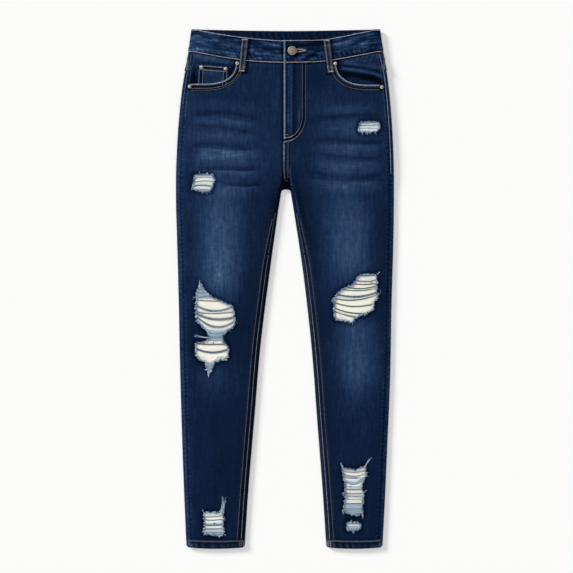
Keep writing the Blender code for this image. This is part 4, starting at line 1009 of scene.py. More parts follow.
def lay_yarn(threads, samples, y, edge, palette, number, rng):
    """A loose yarn of a stripe: a thread for each stretch of it over the hole."""
    signed = over_hole(samples, y, edge)
    index = np.arange(len(samples))
    for start, end in spans(signed > -2.0):
        if end - start < 4 or not (signed[start:end] > 0.0).any():
            continue
        at = np.linspace(start, end - 1, max(6, min(16, (end - start) // 4)))
        px, py, depth = (np.interp(at, index, values) for values in (samples, y, signed))
        rise = -1.25 + 0.80 * ease((depth + 1.0) / 3.0)
        rise = rise + 0.14 * rng.normal() + 0.12 * noise(at / 4.0, number, 9)
        path = np.stack([px, py, top(px, py) + rise], axis=1)
        colour = np.array(palette[int(rng.integers(len(palette)))]) * rng.uniform(0.9, 1.08)
        threads.add(path[None], 0.28 + 0.07 * rng.random(), [colour])


def build_weft(rip):
    """The loose threads across a rip, the frayed fringe round it, its tufts and its tangles."""
    rng = np.random.default_rng(int(abs(rip.x) * 7 + abs(rip.y)))
    threads = Tubes(4)
    edge = TORN[rip.name]
    samples = np.arange(edge[:, 0].min() - 6.0, edge[:, 0].max() + 6.0, 1.0)
    for stripe in STRIPES[rip.name]:
        count = max(1, int(round(stripe.width / YARN_PITCH)))
        palette = [linear(c) for c in YARNS[stripe.yarn]]
        middle = stripe_line(rip, stripe, samples)
        for k in range(count):
            offset = ((k + 0.5) / count - 0.5) * stripe.width
            wave = 0.28 * noise(samples / 5.0, k * 3.7, int(abs(stripe.middle) * 10) + 5)
            y = middle + offset + wave + rng.normal(0.0, 0.12)
            lay_yarn(threads, samples, y, edge, palette, k, rng)
    bleach = (1.3, 0.85) if rip.name == "knee_right" else (0.9, 0.85)
    fringe = Fringe(threads, edge, rng, *bleach)
    fringe.add_nap()
    fringe.add_clumps()
    fringe.add_loops()
    for tuft in TUFTS:
        if tuft.rip == rip.name:
            add_tuft(threads, rip, tuft, rng)
    for knot in KNOTS:
        if knot.rip == rip.name:
            add_knot(threads, rip, knot, rng)
    return threads.piece("weft_" + rip.name, "weft", nodes=("threads_" + rip.name,))


class Fringe:
    """Frayed ends round a torn edge, paler towards the left or the right."""

    def __init__(self, threads, edge, rng, left, right):
        self.threads, self.edge, self.rng = threads, edge, rng
        self.spots = resample(edge, 0.25, closed=True)
        self.out = sideways(self.spots, 6)
        self.ahead = np.stack([-self.out[:, 1], self.out[:, 0]], axis=1)
        if within(self.spots + self.out * 0.6, edge).mean() > 0.5:
            self.out = -self.out
        self.total = len(self.spots)
        self.palette = np.array([linear(c) for c in FRINGE])
        self.bleach = blend(left, right, 0.5 + 0.5 * self.out[:, 0])

    def lay(self, xy, lift_off, radius, chosen, shade):
        """Threads that lie on the cloth and sink into the hole."""
        signed = over_hole(xy[..., 0], xy[..., 1], self.edge)
        z = top(xy[..., 0], xy[..., 1]) + 0.34 - 0.95 * ease((signed + 0.3) / 1.8) + lift_off
        self.threads.add(with_height(xy, z), radius, self.palette[chosen] * shade[:, None])

    def hairs(self, starts, length, lean, curl, radius, chosen, shade, points=5):
        """Arched ends out from the edge, or in from it where the length is less than nought."""
        share = np.linspace(0.0, 1.0, points)
        direction = self.out[starts] + self.ahead[starts] * lean[:, None]
        direction /= np.linalg.norm(direction, axis=1, keepdims=True)
        side = np.stack([-direction[:, 1], direction[:, 0]], axis=1)
        xy = (self.spots[starts][:, None] + direction[:, None] * (length[:, None] * (share - 0.25))[..., None]
              + side[:, None] * ((curl * np.abs(length))[:, None] * share ** 2)[..., None])
        arch = np.sin(np.pi * share)[None] * self.rng.uniform(0.0, 0.35, (len(starts), 1))
        self.lay(xy, arch, radius[:, None] * (1.0 - 0.45 * share)[None], chosen, shade * self.bleach[starts])

    def add_nap(self):
        """Short ends, most of them over the hole."""
        rng, count = self.rng, self.total // 3
        starts = rng.integers(self.total, size=count)
        length = -rng.gamma(3.0, 0.75, count) - 0.8
        length[rng.random(count) < 0.35] *= -0.75
        self.hairs(starts, length, rng.normal(0.0, 0.5, count), rng.normal(0.0, 0.35, count),
                   rng.uniform(0.22, 0.32, count), rng.integers(len(self.palette), size=count),
                   rng.uniform(0.74, 1.12, count))

    def add_clumps(self):
        """Clumps of longer ends that lie out over the cloth."""
        rng, run = self.rng, 0
        while run < self.total:
            run += int(rng.uniform(8, 19))
            size = int(rng.integers(2, 5))
            starts = (run + rng.integers(-2, 3, size)) % self.total
            reach = rng.uniform(2.2, 5.4)
            lean, curl = rng.normal(0.0, 0.6), rng.normal(0.0, 0.45)
            bright = int(rng.choice([0, 1, 2, 2, 3]))
            self.hairs(starts, reach * rng.uniform(0.8, 1.1, size), lean + rng.normal(0.0, 0.10, size),
                       curl + rng.normal(0.0, 0.08, size), np.full(size, 0.36), np.full(size, bright),
                       rng.uniform(0.85, 1.05, size), 6)

    def add_loops(self):
        """Pairs of strands that leave the edge and come back to it."""
        rng, run = self.rng, 0
        share = np.linspace(0.0, 1.0, 9)
        while run < self.total:
            run += int(rng.uniform(14, 40))
            span = int(rng.uniform(10, 26))
            reach = rng.uniform(1.6, 3.8)
            index = (run + (share * span)).astype(int) % self.total
            if self.out[index[0]] @ self.out[index[-1]] < 0.6:
                continue
            bow = np.sin(np.pi * share) ** 0.7 * reach - 0.6
            xy = self.spots[index] + self.out[index] * bow[:, None]
            chosen = np.array([int(rng.choice([0, 1, 2, 3]))])
            for _ in range(2):
                strand = (xy + rng.normal(0.0, 0.18, xy.shape))[None]
                self.lay(strand, 0.15, np.full((1, 9), 0.34), chosen, rng.uniform(0.85, 1.05, 1))


def add_tuft(threads, rip, tuft, rng):
    """Longer ends that spring from one spot and draw together."""
    share = np.linspace(0.0, 1.0, 8)
    reach = math.hypot(tuft.dx, tuft.dy)
    ux, uy = tuft.dx / reach, tuft.dy / reach
    palette = [linear(c) for c in FRINGE[:3]]
    lean = rng.normal(0.0, 0.12)
    for _ in range(tuft.threads):
        off = rng.normal(0.0, tuft.spread * 0.5)
        length = reach * rng.uniform(0.5, 1.1)
        bend = (lean + rng.normal(0.0, 0.08)) * length
        along_it = length * share
        across = off * (1.0 - 0.7 * share) + bend * share ** 2
        x = rip.x + tuft.x + ux * along_it - uy * across
        y = rip.y + tuft.y + uy * along_it + ux * across
        z = top(x, y) + 0.35 + 0.4 * np.sin(np.pi * share) * rng.random()
        colour = np.array(palette[int(rng.integers(len(palette)))]) * rng.uniform(0.9, 1.05)
        threads.add(np.stack([x, y, z], axis=1)[None], (0.34 - 0.12 * share)[None], [colour])


KNOT_COLOURS = ((44, 70, 96), (28, 48, 78), (78, 110, 134))


def add_knot(threads, rip, knot, rng):
    """A few short dark curls of thread caught on a strand."""
    share = np.linspace(0.0, 1.0, 7)
    for _ in range(int(4 + knot.width * 2)):
        start = rng.uniform(0.0, 2.0 * np.pi)
        turn = start + rng.choice([-1.0, 1.0]) * share * rng.uniform(2.0, 4.5)
        reach = rng.uniform(0.3, 0.9)
        x = rip.x + knot.x + rng.normal(0.0, knot.width * 0.45) + reach * np.cos(turn)
        y = rip.y + knot.y + rng.normal(0.0, 0.45) + reach * 0.7 * np.sin(turn)
        colour = linear(KNOT_COLOURS[int(rng.integers(3))])
        threads.add(np.stack([x, y, top(x, y) + 0.1 + 0.2 * share], axis=1)[None], 0.30, [colour])


def build_backing(backing):
    """Cream cloth behind the rips, swelling a little between the stripes of weft, with painted shadow under
    the line and dark stripes and near the torn edge.
    """
    corner = 8.0
    left, right, low, high = backing.left, backing.right, backing.bottom, backing.top
    outline = [(left + corner, low), (right - corner, low), (right, low + corner), (right, high - corner),
               (right - corner, high), (left + corner, high), (left, high - corner), (left, low + corner)]

    def shade(x, y):
        """How near a stripe of weft is, and how near the torn edge is: where the painted shadows go."""
        under, rim = np.zeros(x.shape), np.zeros(x.shape)
        for rip in RIPS:
            if rip.name not in backing.rips:
                continue
            for stripe in STRIPES[rip.name]:
                if stripe.yarn in ("line", "dark"):
                    off = y - stripe_line(rip, stripe, x)
                    under = np.maximum(under, bell(off, 1.4 + stripe.width * 0.5))
            depth = over_hole(x, y, TORN[rip.name])
            rim = np.maximum(rim, np.where(depth > 0.0, 1.0 - bell(depth, 5.0), 0.0))
        return under, rim

    def height(x, y):
        under, rim = shade(x, y)
        return top(x, y) - 1.55 + 0.65 * rim * (1.0 - under)

    def tone(x, y):
        under, rim = shade(x, y)
        # Painted shadow: darker under the line and dark stripes, and darker near the torn edge, which the
        # denim shades.
        return 0.56 + backing.whiteness + 0.22 * rim - 0.24 * under

    return layer("backing_cloth_" + backing.name, outline, height, LINING, tone, spacing=2.0,
                 kind="backing", inside_tone=0.7, nodes=("backing_" + backing.name,))


# ------------------------------------------------------------------ front panels


MOUTH_SHORTER = 1.8     # the wearer's right mouth is this much less deep


def mouth_curve(side, wider=0.0, steps=40):
    """The bend of a pocket mouth from the waistband to the outseam."""
    turn = np.linspace(0.0, np.pi / 2, steps)
    across = np.cos(turn) ** (2 / MOUTH_ROUNDNESS)
    down = np.sin(turn) ** (2 / MOUTH_ROUNDNESS)
    depth = MOUTH_DEPTH + wider - (MOUTH_SHORTER if side < 0 else 0.0)
    return np.stack([CENTRE_X + side * (MOUTH_CENTRE - (MOUTH_HALF_WIDTH + wider) * across),
                     MOUTH_TOP - depth * down], axis=1)


def mouth_line(side, wider=0.0):
    """The pocket mouth carried on to the outseam and up to the waistband."""
    curve = mouth_curve(side, wider)
    out = (side * 225.0, curve[-1, 1])
    up = (curve[0, 0], 470.0)
    return np.vstack([[up], curve, [out]])


def mouth_outline(side):
    """The part of a front that the pocket mouth cuts away."""
    line = mouth_line(side)
    out = [(side * 240.0, line[-1, 1]), (side * 240.0, 490.0), (line[0, 0], 490.0)]
    return resample(np.vstack([line, out]), 1.2, closed=True)


def leg_rows(spacing):
    """The levels of a leg from the hem up to the foot of the crotch."""
    foot = GAP_TOP - GAP_ROUND
    return np.linspace(HEM_END, foot, int((foot - HEM_END) / spacing))


def crotch_edge(side, degrees):
    """Points on the rounded end of the gap between the legs, and their normals into it."""
    turn = np.radians(degrees)
    edge = np.stack([CENTRE_X + side * GAP_HALF_WIDTH * np.cos(turn),
                     GAP_TOP - GAP_ROUND + GAP_ROUND * np.sin(turn)], axis=-1)
    normal = np.stack([-side * np.cos(turn) / GAP_HALF_WIDTH, -np.sin(turn) / GAP_ROUND], axis=-1)
    return edge, normal / np.linalg.norm(normal, axis=-1, keepdims=True)


def hem_sag(side, x, y):
    """How far the bowed hem line comes down at a point near it."""
    low, high = outer_x(side, HEM_END), inner_x(side, HEM_END)
    share = (x - low) / (high - low)
    return HEM_BOW * clamp(4.0 * share * (1.0 - share)) * (1.0 - ease((y - HEM_END) / 30.0))


FLAT_ABOVE = 232.0      # over this height the rows of a front lie level
FLAT_START = 219.5      # where the first row over the crotch meets the outseam


def front_grid(side, spacing, columns):
    """Rows across a front from its outseam to its inseam, fly or centre seam."""
    legs = leg_rows(spacing)
    inset = OUTSEAM_INSET + GAP
    lap = LAP_EDGE_X if side > 0 else FLY_UNDER_X
    degrees = np.linspace(0.0, 90.0, 15)[1:]
    edge, normal = crotch_edge(side, degrees)
    arc = edge - normal * (INSEAM_CROTCH_INSET + GAP)
    arc[-1, 0] += side * GAP / 2
    head = float(arc[-1, 1])
    level = np.concatenate([np.linspace(head, FLAT_ABOVE, 14)[1:], np.linspace(FLAT_ABOVE, FLY_FOOT, 24)[1:],
                            np.linspace(FLY_FOOT, FLY_LAP_TOP, 4)[1:]])
    share = clamp((level - FLY_FOOT) / (FLY_LAP_TOP - FLY_FOOT))
    inner = np.concatenate([
        np.stack([inner_x(side, legs) + side * (inseam_inset(legs) + GAP), legs], axis=1), arc,
        np.stack([blend(CENTRE_X + side * GAP / 2, lap, share), level], axis=1)])
    climb = blend(FLAT_START, FLAT_ABOVE, clamp((level - head) / (FLAT_ABOVE - head)))
    outer = np.concatenate([legs, GAP_TOP - GAP_ROUND + CROTCH_SPREAD * degrees / 90.0,
                            climb + np.maximum(0.0, level - FLAT_ABOVE)])
    across = np.linspace(0.0, 1.0, columns)
    start = np.stack([outer_x(side, outer) - side * inset, outer], axis=1)
    lower = start[:, None] + (inner - start)[:, None] * across[None, :, None]
    shares = np.linspace(0.0, 1.0, int(165.0 / spacing))[1:]
    seam = outer_x(side, blend(FLY_LAP_TOP, BAND_SIDE_BOTTOM - GAP, shares)) - side * inset
    x = seam[:, None] + (lap - seam)[:, None] * across[None]
    y = FLY_LAP_TOP + (front_band_bottom(x) - GAP - FLY_LAP_TOP) * shares[:, None]
    xy = np.concatenate([lower, np.stack([x, y], axis=-1)])
    xy[..., 1] -= hem_sag(side, xy[..., 0], xy[..., 1])
    return xy


def roll(distance, radius=1.6, depth=0.6):
    """How far a folded edge turns down within its radius."""
    t = clamp(1.0 - distance / radius)
    return -depth * (1.0 - np.sqrt(1.0 - t * t))


J_TURN_Y, J_FOOT_Y, J_SIDE_X = 338.0, 294.2, 33.6


def j_line(inset):
    """The J of topstitching on the fly, moved out from its inner line by an inset."""
    x, foot = J_SIDE_X + inset, J_FOOT_Y - 1.05 * inset
    turn = np.radians(np.linspace(0.0, 90.0, 14))
    bend = np.stack([1.0 + (x - 1.0) * np.cos(turn), J_TURN_Y - (J_TURN_Y - foot) * np.sin(turn)], axis=1)
    return np.vstack([[(x, 441.0)], bend, [(-1.8, foot)]])


RivetPlace = namedtuple("RivetPlace", "name x y")
RIVETS = table(RivetPlace, (
    ("rivet_pocket_right_inner", -93.4, 440.0), ("rivet_pocket_right_outer", -186.2, 394.6),
    ("rivet_pocket_left_inner", 97.8, 439.4), ("rivet_pocket_left_outer", 188.6, 393.2),
    ("rivet_coin_right", -163.4, 432.2), ("rivet_coin_left", -115.8, 429.0),
))
Loop = namedtuple("Loop", "name top_x top_y foot_x foot_y")
FRONT_LOOPS = (
    Loop("belt_loop_front_right", -77.8, 487.6, -84.4, 423.0),
    Loop("belt_loop_front_left", 80.9, 485.8, 89.4, 421.5),
)


def trim_shade(x, y):
    """Painted shadow that the raised trim casts on the cloth: round rivets, and beside and under the belt
    loops.
    """
    shade = np.zeros(np.shape(x))
    for rivet in RIVETS:
        shade = shade - 0.26 * bell(np.hypot(x - rivet.x - 0.8, y - rivet.y + 0.8) - 4.6, 1.8)
    for loop in FRONT_LOOPS:
        share = (y - loop.foot_y) / (loop.top_y - loop.foot_y)
        off = x - blend(loop.foot_x, loop.top_x, share)
        along_it = ease((y - loop.foot_y + 5.0) / 3.0) * ease((loop.top_y + 3.0 - y) / 3.0)
        shade = shade - along_it * bands(off, (8.4, 2.6, 0.32), (-7.6, 1.8, 0.16))
        shade = shade - 0.30 * bell(y - loop.foot_y + 2.6, 2.2) * bell(off, 8.0)
    return shade


def crotch_shade(x, y):
    """Painted shade: the dark wedge over the gap between the legs."""
    half = 6.6 + 4.4 * clamp((222.0 - y) / 28.0)
    wedge = np.exp(-((x - CENTRE_X + 0.8) / half) ** 6)
    return 0.42 * wedge * ease((y - 182.0) / 8.0) * ease((236.0 - y) / 18.0)


def greyed(side, x, y, hem):
    """Where the dye has worn to grey: along the inseam and round the hem."""
    inner = crown(x, y)[2]
    seam = bell(np.maximum(inner - 15.0, 0.0), 3.0) * ease((150.0 - y) / 50.0)
    return clamp((0.75 if side > 0 else 0.35) * seam + 0.45 * bell(hem - 6.0, 8.0))


def blocks(run, seed, pitch):
    """Roping: light and dark blocks along a seam, uneven in length."""
    return np.tanh(2.2 * pucker(run, seed, pitch))


# The crease beside the crotch on the wearer's left: height and place
CROTCH_CREASE = ((60.0, 44.0), (117.0, 33.0), (148.0, 25.4), (170.0, 21.0), (185.0, 17.2), (197.0, 12.9),
                 (212.0, 10.7), (224.0, 9.3), (240.0, 7.4))


# Each function below gives how an edge of a front changes the cloth's height and its tone


def mouth_work(side, x, y):
    """The pocket mouth: a rolled edge, pale with wear and a painted highlight, and a band of painted shade
    beside it over its doubled cloth.
    """
    off, run = from_line(x, y, mouth_line(side))
    ripple = pucker(run, 21, 5.2)
    rise = roll(off) + 0.30 * ease((10.0 - off) / 3.0) - 0.25 * bell(off - 3.4, 1.4)
    worn_and_lit_rim = 0.46 * bell(off - 0.6, 1.4) * ease((191.0 - np.abs(x)) / 4.0)
    tone = worn_and_lit_rim + bands(off, (5.6, 3.4, -0.26), (11.4, 1.6, -0.12))
    return rise + 0.14 * ripple * bell(off - 9.8, 3.0), tone + 0.06 * ripple * bell(off - 13.0, 4.0)


def waist_work(x, y):
    """The seam under the waistband, with its puckers, and a painted shadow just under the band's edge."""
    off = front_band_bottom(x) - y
    ripple = pucker(x, 31, 6.5)
    rise = 0.16 * ripple * bell(off - 6.0, 5.0) - 0.35 * bell(off, 2.0)
    return rise, (0.03 + 0.07 * ripple) * bell(off - 7.0, 5.0) - 0.22 * bell(off - 0.5, 2.6)


def inseam_work(side, x, y):
    """The inseam: a turned and puckered edge, with painted shade along it on the wearer's right, whose inner
    edge faces away from the window lamp.
    """
    leg = y < GAP_TOP + 12.0
    off = np.where(leg, crown(x, y)[2] - inseam_inset(y) - GAP, 99.0)
    ripple = pucker(y, 41 + side, 7.5)
    low = ease((GAP_TOP - 26.0 - y) / 30.0)
    # Painted shade: the wearer's right inner edge faces away from the window lamp, so its dark line is
    # painted on that side.
    wear_and_painted_light = 0.0 if side > 0 else 0.7
    rise = np.where(leg, roll(np.maximum(off, 0.0), 1.2, 0.5), 0.0)
    rise = rise + 0.32 * bell(off - 1.5, 3.0) + 0.18 * ripple * bell(off - 6.5, 4.5)
    tone = (0.09 - 0.08 * wear_and_painted_light) * bell(off - 3.0, 2.4) + 0.05 * ripple * bell(off - 7.0, 5.0)
    return rise, tone - wear_and_painted_light * blend(0.06, 0.16, low) * bell(off + 0.6, 1.6)


def outseam_work(side, off, y):
    """The outseam: a turned edge, with the light and dark of the seam under it."""
    rope, dash = blocks(y, 51 + side, 11.0), blocks(y, 57 + side, 8.2)
    rise = roll(np.maximum(off, 0.0), 1.2, 0.45) + 0.16 * rope * bell(off - 3.0, 3.5)
    return rise, 0.05 * (1.0 - dash) * bell(off - 4.2, 2.0) - (0.10 + 0.13 * dash) * bell(off - 0.8, 1.9)


def hem_work(side, x, hem, seam_off):
    """The turned hem: thicker, roped all along and paler at its corner."""
    rope = blocks(x + hem * 0.25, 61 + side, 13.0) * (0.75 + 0.5 * noise(x / 30.0, 0.0, 62))
    corner = bell(np.maximum(seam_off - 3.0, 0.0), 4.0)
    rise = 0.55 * ease((HEM_DEPTH + 1.0 - hem) / 2.0) + 0.22 * rope * bell(hem - 7.0, 6.0)
    tone = (0.19 * rope + 0.24 * corner - 0.02) * bell(hem - 5.4, 5.4)
    lines = bands(hem, (10.4, 1.4, -0.22), (13.2, 2.0, 0.14), (HEM_DEPTH + 1.6, 2.0, -0.12), (0.0, 1.0, 0.12))
    return rise + roll(np.maximum(hem, 0.0), 1.6, 0.9), tone + lines


def lap_work(x, y):
    """The fly's lapped edge, the swell of the zip under it and its J of stitches."""
    off = x - np.where(y > FLY_FOOT, LAP_EDGE_X, CENTRE_X + GAP / 2)
    upper = ease((y - 286.0) / 4.0)
    ripple, dots, blotch = pucker(y, 71, 8.0), blocks(y, 72, 5.4), noise(y / 15.0, 0.0, 73)
    low = bell(y - 332.0, 16.0)
    lines, _ = from_line(x, y, j_line(3.0))
    swell = bands(off, (4.0, 3.0, 0.2), (15.0, 4.5, 0.35), (23.0, 4.5, -0.30))
    swell = swell + 0.22 * ripple * bell(off - 8.5, 3.5)
    rise = roll(np.maximum(off, 0.0), 1.6, 0.7) + upper * swell + 0.18 * bell(lines, 2.6)
    # The pale ridges and blotches along the fly are wear; the dark bands at 19.6 and 25 are painted shade on
    # the slope into and across the trough beside the zip's swell.
    wear_and_painted_light = (0.12 * dots * bell(off - 5.4, 1.3)
            + (0.06 + 0.14 * ripple + 0.10 * blotch + 0.10 * low) * bell(off - 8.6, 2.4)
            + (0.17 + 0.08 * blotch) * bell(off - 15.2, 1.7) + 0.24 * low * bell(off - 29.6, 1.8)
            + bands(off, (19.6, 2.4, -0.18), (25.0, 4.0, -0.07)))
    tone = (0.10 + 0.34 * upper) * bell(off - 1.4, 1.8) - (0.14 + 0.12 * upper) * bell(off - 5.2, 1.5)
    tone = tone - 0.16 * (1.0 - upper) * bell(off - 3.4, 2.6)
    return rise, tone + upper * wear_and_painted_light - 0.20 * bell(lines, 3.0)


def centre_work(x, y):
    """The right front beside the centre seam, and where the fly laps over it: a pale line by the seam,
    painted shadow beside the seam, and painted shadow along the lap's edge.
    """
    off = np.where(y > FLY_FOOT, LAP_EDGE_X, CENTRE_X - GAP / 2) - x
    below = ease((290.0 - y) / 6.0)
    tone = below * (0.28 * bell(off - 3.8, 1.4) * ease((y - 214.0) / 24.0) - 0.26 * bell(off - 7.0, 1.4))
    tone = tone - blend(0.24, 0.20, below) * bell(off - blend(1.4, 0.4, below), blend(3.0, 1.8, below))
    return -0.25 * bell(off, 2.0) * ease((GAP_TOP + 90.0 - y) / 10.0), tone


def crease_work(x, y):
    """The crease down from the crotch on the wearer's left, with a painted highlight on its ridge and painted
    shade in the hollow beside it.
    """
    heights, places = np.array(CROTCH_CREASE).T
    off = x - np.interp(y, heights, places)
    reach = ease((246.0 - y) / 14.0) * ease((y - 60.0) / 110.0)
    rise = reach * bands(off, (0.0, 2.6, 0.2), (8.0, 6.0, -0.2))
    return rise, reach * bands(off, (0.0, 2.3, 0.25), (8.0, 6.0, -0.09))


def rip_work(side, x, y):
    """The torn edges: a pale raised rim, and a ring of painted shadow in the cloth round it."""
    flat = flattened(x, y)
    rise, tone = np.zeros(len(flat)), np.zeros(len(flat))
    for rip in RIPS:
        if rip.x * side > 0:
            edge = TORN[rip.name]
            low, high = edge.min(axis=0) - 16.0, edge.max(axis=0) + 16.0
            near = np.nonzero(np.all((flat > low) & (flat < high), axis=1))[0]
            distance, _, _ = nearest(flat[near], edge, closed=True)
            rise[near] += 0.35 * bell(distance, 2.2)
            tone[near] += bands(distance, (0.0, 0.9, 0.16), (4.0, 4.2, -0.15))
    return rise.reshape(x.shape), tone.reshape(x.shape)


def front_surface(side, x, y):
    """Height and tone of a front panel with all its edges worked in, and how far up the hem is."""
    seam_off = crown(x, y)[1] - OUTSEAM_INSET - GAP
    hem = y - (HEM_END - hem_sag(side, x, y))
    work = [mouth_work(side, x, y), waist_work(x, y), inseam_work(side, x, y),
            outseam_work(side, seam_off, y), hem_work(side, x, hem, seam_off), rip_work(side, x, y)]
    z = top(x, y)
    if side > 0:
        z = z + fly_rise(x, y)
        work += [lap_work(x, y), crease_work(x, y)]
    else:
        work.append(centre_work(x, y))
    tone = wash_and_shade(x, y) + trim_shade(x, y) - crotch_shade(x, y)
    return z + sum(rise for rise, _ in work), tone + sum(shade for _, shade in work), hem


def hem_wall(hem):
    """Thickness of the denim, doubled by the turned hem."""
    return DENIM + (HEM_CLOTH - DENIM) * ease((HEM_DEPTH + 2.0 - hem) / 3.0)


FRONT_SPACING, FRONT_COLUMNS = 2.4, 82
BACK_SPACING, BACK_ROWS = 3.4, 66


def build_front(side):
    """A front panel: one grid, cut away at the pocket mouth and at its rips."""
    xy = front_grid(side, FRONT_SPACING, FRONT_COLUMNS)
    gone = np.zeros(xy.shape[:2], bool)
    for outline in [mouth_outline(side)] + [TORN[rip.name] for rip in RIPS if rip.x * side > 0]:
        xy, lost = trimmed(xy, outline, True, FRONT_SPACING)
        gone |= lost
    x, y = xy[..., 0], xy[..., 1]
    z, tone, hem = front_surface(side, x, y)
    outside = with_height(xy, z)
    return shell("front_" + WORD[side], outside, upright(outside), hem_wall(hem), tone, kept_cells(gone),
                 nodes=("front_panel_" + WORD[side],), grey=greyed(side, x, y, hem))


# ------------------------------------------------------------------ back panels and yokes

FOLD = np.linspace(90.0, -90.0, 11)
UNDER = np.linspace(0.0, 1.0, 30)[1:-1]


def side_rows(side, y, proud=0.0):
    """Strip on top, then the round fold at the outer edge, for rows at y."""
    edge = np.stack([outer_x(side, y), y], axis=1)
    out = np.broadcast_to(np.array([float(side), 0.0]), edge.shape)
    reach = np.array([OUTSEAM_INSET, 6.6, 5.2, 4.2])
    strip = edge[:, None] - out[:, None] * reach[None, :, None]
    strip = with_height(strip, top(strip[..., 0], strip[..., 1]) + proud)
    points, normals = fold_points(edge[:, None], out[:, None], FOLD[None], proud)
    foot = edge - out * EDGE_ROUND
    return np.concatenate([strip, points], axis=1), np.concatenate([upright(strip), normals], axis=1), foot


def under_rows(foot, inner):
    """The flat underside between two edges."""
    flat = foot[:, None] + (inner - foot)[:, None] * UNDER[None, :, None]
    points = with_height(flat, lift(flat[..., 1]) + STITCH_ROOM)
    return points, upright(points, -1.0)


def under_tone(x, y):
    """The plain dark back, a little paler at the seat and the thighs."""
    plain = 0.33 + 0.05 * noise(x / 30.0, y / 44.0, 8) + 0.02 * noise(x / 3.0, y / 40.0, 9)
    seat = 0.18 * bell(np.abs(x - CENTRE_X) - 96.0, 60.0) * bell(y - 300.0, 90.0)
    thigh = 0.14 * bell(np.abs(x) - 128.0, 50.0) * bell(y - 60.0, 120.0)
    return plain + seat + thigh


def outseam_tone(side, x, y, off):
    """What shows beside the outer edge: worn cloth, paler on the wearer's right with painted light from the
    window lamp it faces, and the blocks of a roped seam.
    """
    right = x < 0.0
    hip = ease((y - 230.0) / 60.0)
    wear_and_painted_light = np.where(right, 0.08 + 0.02 * ease((-150.0 - y) / 100.0), 0.04) * (1.0 - hip)
    tone = wear_and_painted_light * bell(off - np.where(right, 6.0, 3.0), 3.2)
    tone = tone + (0.06 + 0.09 * blocks(y, 51 + side, 8.2)) * bell(off - 4.6, 2.6)
    tone = tone + np.where(right, -0.02, 0.10) * bell(off - 1.2, 1.8) * (1.0 - 0.4 * hip)
    return tone + 0.06 * noise(y / 9.0, 0.0, 53 + side) * bell(off - 2.0, 4.0)


def inseam_tone(side, y, off, inset):
    """What shows beside the inner edge, with painted shade darker on the wearer's right, whose inner edge
    faces away from the window lamp.
    """
    low = ease((GAP_TOP - 26.0 - y) / 30.0)
    # Painted shade: strongest on the wearer's right, whose inner edge faces away from the window lamp.
    wear_and_painted_light = 0.2 if side > 0 else 1.0
    tone = -wear_and_painted_light * (blend(0.12, 0.20, low) * bell(inset - off - 2.6, 1.8) + 0.12 * bell(off - 1.8, 1.8))
    tone = tone + (0.10 * bell(off - 2.2, 3.0) + 0.02 if side > 0 else -0.06 * bell(off - 3.0, 3.0))
    tone = tone + 0.05 * pucker(y, 41 + side, 7.5) * bell(inset - off - 5.0, 3.0)
    return tone * ease((GAP_TOP + 12.0 - y) / 4.0)


def edge_tone(points, side):
    """Tone of the strips that come over the edges: worn seams with painted light and shade on top, plain
    underneath.
    """
    x, y, z = points[..., 0], points[..., 1], points[..., 2]
    _, outer, inner = crown(x, y)
    inset = inseam_inset(y)
    tone = wash_and_shade(x, y) + trim_shade(x, y) - crotch_shade(x, y) - 0.02
    tone = tone + outseam_tone(side, x, y, outer) + inseam_tone(side, y, inner, inset)
    hem = y - (HEM_END - hem_sag(side, x, y))
    corners = 0.14 * bell(outer - 7.0, 5.0) + 0.16 * bell(inset - inner - 2.0, 6.0)
    tone = tone + corners * bell(hem - 7.0, 6.0)
    return blend(under_tone(x, y), tone, ease((z - lift(y) - 2.0) / 3.0))


def inseam_strip(side, edges, normals):
    """The strip on top from the inner edge to the inseam, with the seam's puckered ridge."""
    low = edges[:, 1] < GAP_TOP - GAP_ROUND
    inset = np.where(low, inseam_inset(edges[:, 1]), INSEAM_CROTCH_INSET)[:, None]
    share = np.array([0.08, 0.26, 0.44, 0.62, 0.80, 1.0])[None]
    reach = EDGE_ROUND + (inset - EDGE_ROUND) * share
    xy = edges[:, None] - normals[:, None] * reach[..., None]
    ridge = 0.5 * bell(inset - reach - 3.0, 2.4) - 0.25 * bell(inset - reach, 0.8)
    ridge = ridge * (1.0 + 0.3 * pucker(xy[..., 1], 41 + side, 7.5))
    return with_height(xy, top(xy[..., 0], xy[..., 1]) + ridge)


def back_leg(side):
    """Rows round a leg, from the outseam under it to the inseam; and where its last row ends."""
    legs = leg_rows(BACK_SPACING)
    degrees = np.linspace(0.0, 90.0, 13)[1:]
    arc, arc_n = crotch_edge(side, degrees)
    arc[-1, 0] += side * SEAM_GAP / 2
    edges = np.concatenate([np.stack([inner_x(side, legs), legs], axis=1), arc])
    normals = np.concatenate([np.tile((-float(side), 0.0), (len(legs), 1)), arc_n])
    outer = np.concatenate([legs, GAP_TOP - GAP_ROUND + CROTCH_SPREAD * degrees / 90.0])
    first, first_n, foot = side_rows(side, outer)
    under, under_n = under_rows(foot, edges - normals * EDGE_ROUND)
    fold, fold_n = fold_points(edges[:, None], normals[:, None], FOLD[None, ::-1], 0.0)
    strip = inseam_strip(side, edges, normals)
    points = np.concatenate([first, under, fold, strip], axis=1)
    return points, np.concatenate([first_n, under_n, fold_n, upright(strip)], axis=1), outer[-1], edges[-1, 1]


